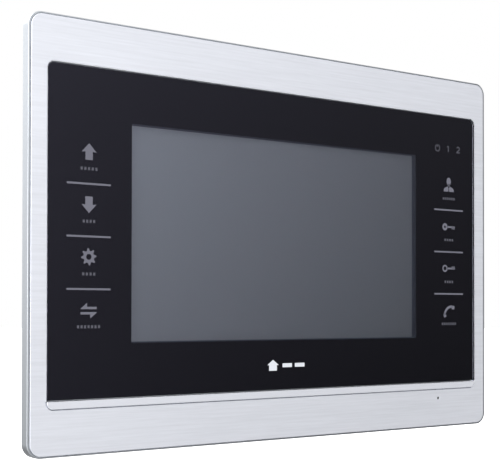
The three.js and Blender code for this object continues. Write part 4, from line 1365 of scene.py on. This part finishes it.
def studio_world():
    """A white surround for the camera, and for the object a ring of large soft lights: each is its
    brightness times the exponential of SOFTNESS times (cosine of the angle from its middle, less one)."""
    world = bpy.data.worlds.new("studio")
    bpy.context.scene.world = world
    world.use_nodes = True
    tree = world.node_tree
    tree.nodes.clear()
    place = node(tree, "TexCoord").outputs["Generated"]
    total = None
    for right, up, brightness in SOFT_LIGHTS:
        a, e = math.radians(right), math.radians(up)
        middle = (math.sin(a) * math.cos(e), -math.cos(a) * math.cos(e), math.sin(e))
        cosine = node(tree, "VectorMath", {0: place, 1: middle}, operation="DOT_PRODUCT").outputs["Value"]
        fall = math_node(tree, "MULTIPLY", math_node(tree, "SUBTRACT", cosine, 1.0), SOFTNESS)
        level = math_node(tree, "MULTIPLY", math_node(tree, "POWER", math.e, fall), brightness)
        total = level if total is None else math_node(tree, "ADD", total, level)
    soft = node(tree, "Background", {"Color": (1, 1, 1, 1), "Strength": total})
    white = node(tree, "Background", {"Color": (1, 1, 1, 1), "Strength": 1.0})
    rays = node(tree, "LightPath").outputs["Is Camera Ray"]
    mix = node(tree, "MixShader", {0: rays, 1: soft.outputs[0], 2: white.outputs[0]})
    out = tree.nodes.new("ShaderNodeOutputWorld")
    tree.links.new(mix.outputs[0], out.inputs["Surface"])


def softbox(name, place, target, size, power):
    """A white rectangular area light at a place, turned towards a target."""
    data = bpy.data.lights.new(name, "AREA")
    data.shape = "RECTANGLE"
    data.size, data.size_y = size
    data.energy = power
    light = bpy.data.objects.new(name, data)
    bpy.context.scene.collection.objects.link(light)
    light.location = place
    light.rotation_euler = (Vector(target) - Vector(place)).to_track_quat("-Z", "Y").to_euler()


class INTERCOM_OT_stage(bpy.types.Operator):
    """Makes the pale floor, the soft lights and the camera"""

    bl_idname = "intercom.stage"
    bl_label = "Stage"

    floor_rings = (0.01, 0.5, 2.0, 9.0)  # radii in metres
    floor_glow = 0.8  # the floor's own light, seen by the camera alone
    key_place, key_size, key_power = (-1.0, -1.4, 1.25), (1.2, 1.2), 3.0

    def execute(self, context):
        stage = context.scene.intercom_stage
        base = PLATE_LOW[2] * MM - stage.floor_drop
        angle = np.linspace(0, 2 * np.pi, 96, endpoint=False)
        rings = [
            np.column_stack((r * np.cos(angle), r * np.sin(angle), np.full(96, base))) / MM
            for r in self.floor_rings
        ]
        floor = put_mesh("floor", loft(rings))
        paper = bpy.data.materials.new("floor_paper")
        paper.use_nodes = True
        shader = paper.node_tree.nodes["Principled BSDF"]
        shader.inputs["Base Color"].default_value = (0.93, 0.93, 0.93, 1)
        shader.inputs["Roughness"].default_value = 0.9
        shader.inputs["Specular IOR Level"].default_value = 0.0
        shader.inputs["Emission Color"].default_value = (1, 1, 1, 1)
        shader.inputs["Emission Strength"].default_value = self.floor_glow
        floor.data.materials.append(paper)
        floor.visible_glossy = floor.visible_diffuse = floor.visible_transmission = False
        floor.visible_shadow = False

        studio_world()
        middle = (0.0, FACE_Y * MM, 0.0)
        softbox("key_light", self.key_place, middle, self.key_size, self.key_power)

        camera = bpy.data.objects.new("camera", bpy.data.cameras.new("camera"))
        context.scene.collection.objects.link(camera)
        lens = camera.data
        lens.sensor_width, lens.lens, lens.shift_y = 36.0, stage.lens, stage.shift
        lens.clip_start, lens.clip_end = 0.01, 50.0
        turned = (
            Matrix.Rotation(stage.roll, 3, "Y")
            @ Matrix.Rotation(stage.pitch, 3, "X")
            @ Matrix.Rotation(stage.yaw, 3, "Z")
        )
        right, ahead, up = (turned[i].copy() for i in range(3))
        pose = Matrix((right, up, -ahead)).transposed().to_4x4()
        pose.translation = Vector(middle) + Vector(stage.camera_offset)
        camera.matrix_world = pose
        context.scene.camera = camera
        context.scene.view_settings.view_transform = "Standard"
        return {"FINISHED"}


# ------------------------------------------------------------------ the add-on

OPERATORS = (
    INTERCOM_OT_finishes,
    INTERCOM_OT_stage,
    INTERCOM_OT_face_plate,
    INTERCOM_OT_side_frame,
    INTERCOM_OT_trim,
    INTERCOM_OT_glass,
    INTERCOM_OT_screen,
    INTERCOM_OT_legends,
    INTERCOM_OT_case,
    INTERCOM_OT_screws,
    INTERCOM_OT_boards,
    INTERCOM_OT_sockets,
    INTERCOM_OT_speaker,
    INTERCOM_OT_back_marks,
)
PROPERTY_GROUPS = {
    "intercom_front": IntercomFront,
    "intercom_screen": IntercomScreen,
    "intercom_keys": IntercomKeys,
    "intercom_stage": IntercomStage,
}


class INTERCOM_PT_sidebar(bpy.types.Panel):
    """Lists the values and the steps in the sidebar"""

    bl_idname = "INTERCOM_PT_sidebar"
    bl_label = "Intercom monitor"
    bl_space_type = "VIEW_3D"
    bl_region_type = "UI"
    bl_category = "Intercom"

    def draw(self, context):
        for operator in OPERATORS:
            self.layout.operator(operator.bl_idname)
        for name, group in PROPERTY_GROUPS.items():
            box = self.layout.box()
            box.label(text=group.__doc__)
            for value in group.__annotations__:
                box.prop(getattr(context.scene, name), value)


def register():
    """Adds the values, the operators and the panel to Blender."""
    for group in PROPERTY_GROUPS.values():
        bpy.utils.register_class(group)
    for name, group in PROPERTY_GROUPS.items():
        setattr(bpy.types.Scene, name, PointerProperty(type=group))
    for operator in OPERATORS:
        bpy.utils.register_class(operator)
    bpy.utils.register_class(INTERCOM_PT_sidebar)


def unregister():
    """Takes them away again, last first."""
    bpy.utils.unregister_class(INTERCOM_PT_sidebar)
    for operator in reversed(OPERATORS):
        bpy.utils.unregister_class(operator)
    for name in PROPERTY_GROUPS:
        delattr(bpy.types.Scene, name)
    for group in reversed(PROPERTY_GROUPS.values()):
        bpy.utils.unregister_class(group)


def main():
    """Builds everything in order."""
    register()
    for operator in OPERATORS:
        family, name = operator.bl_idname.split(".")
        getattr(getattr(bpy.ops, family), name)()


if __name__ == "__main__":
    main()
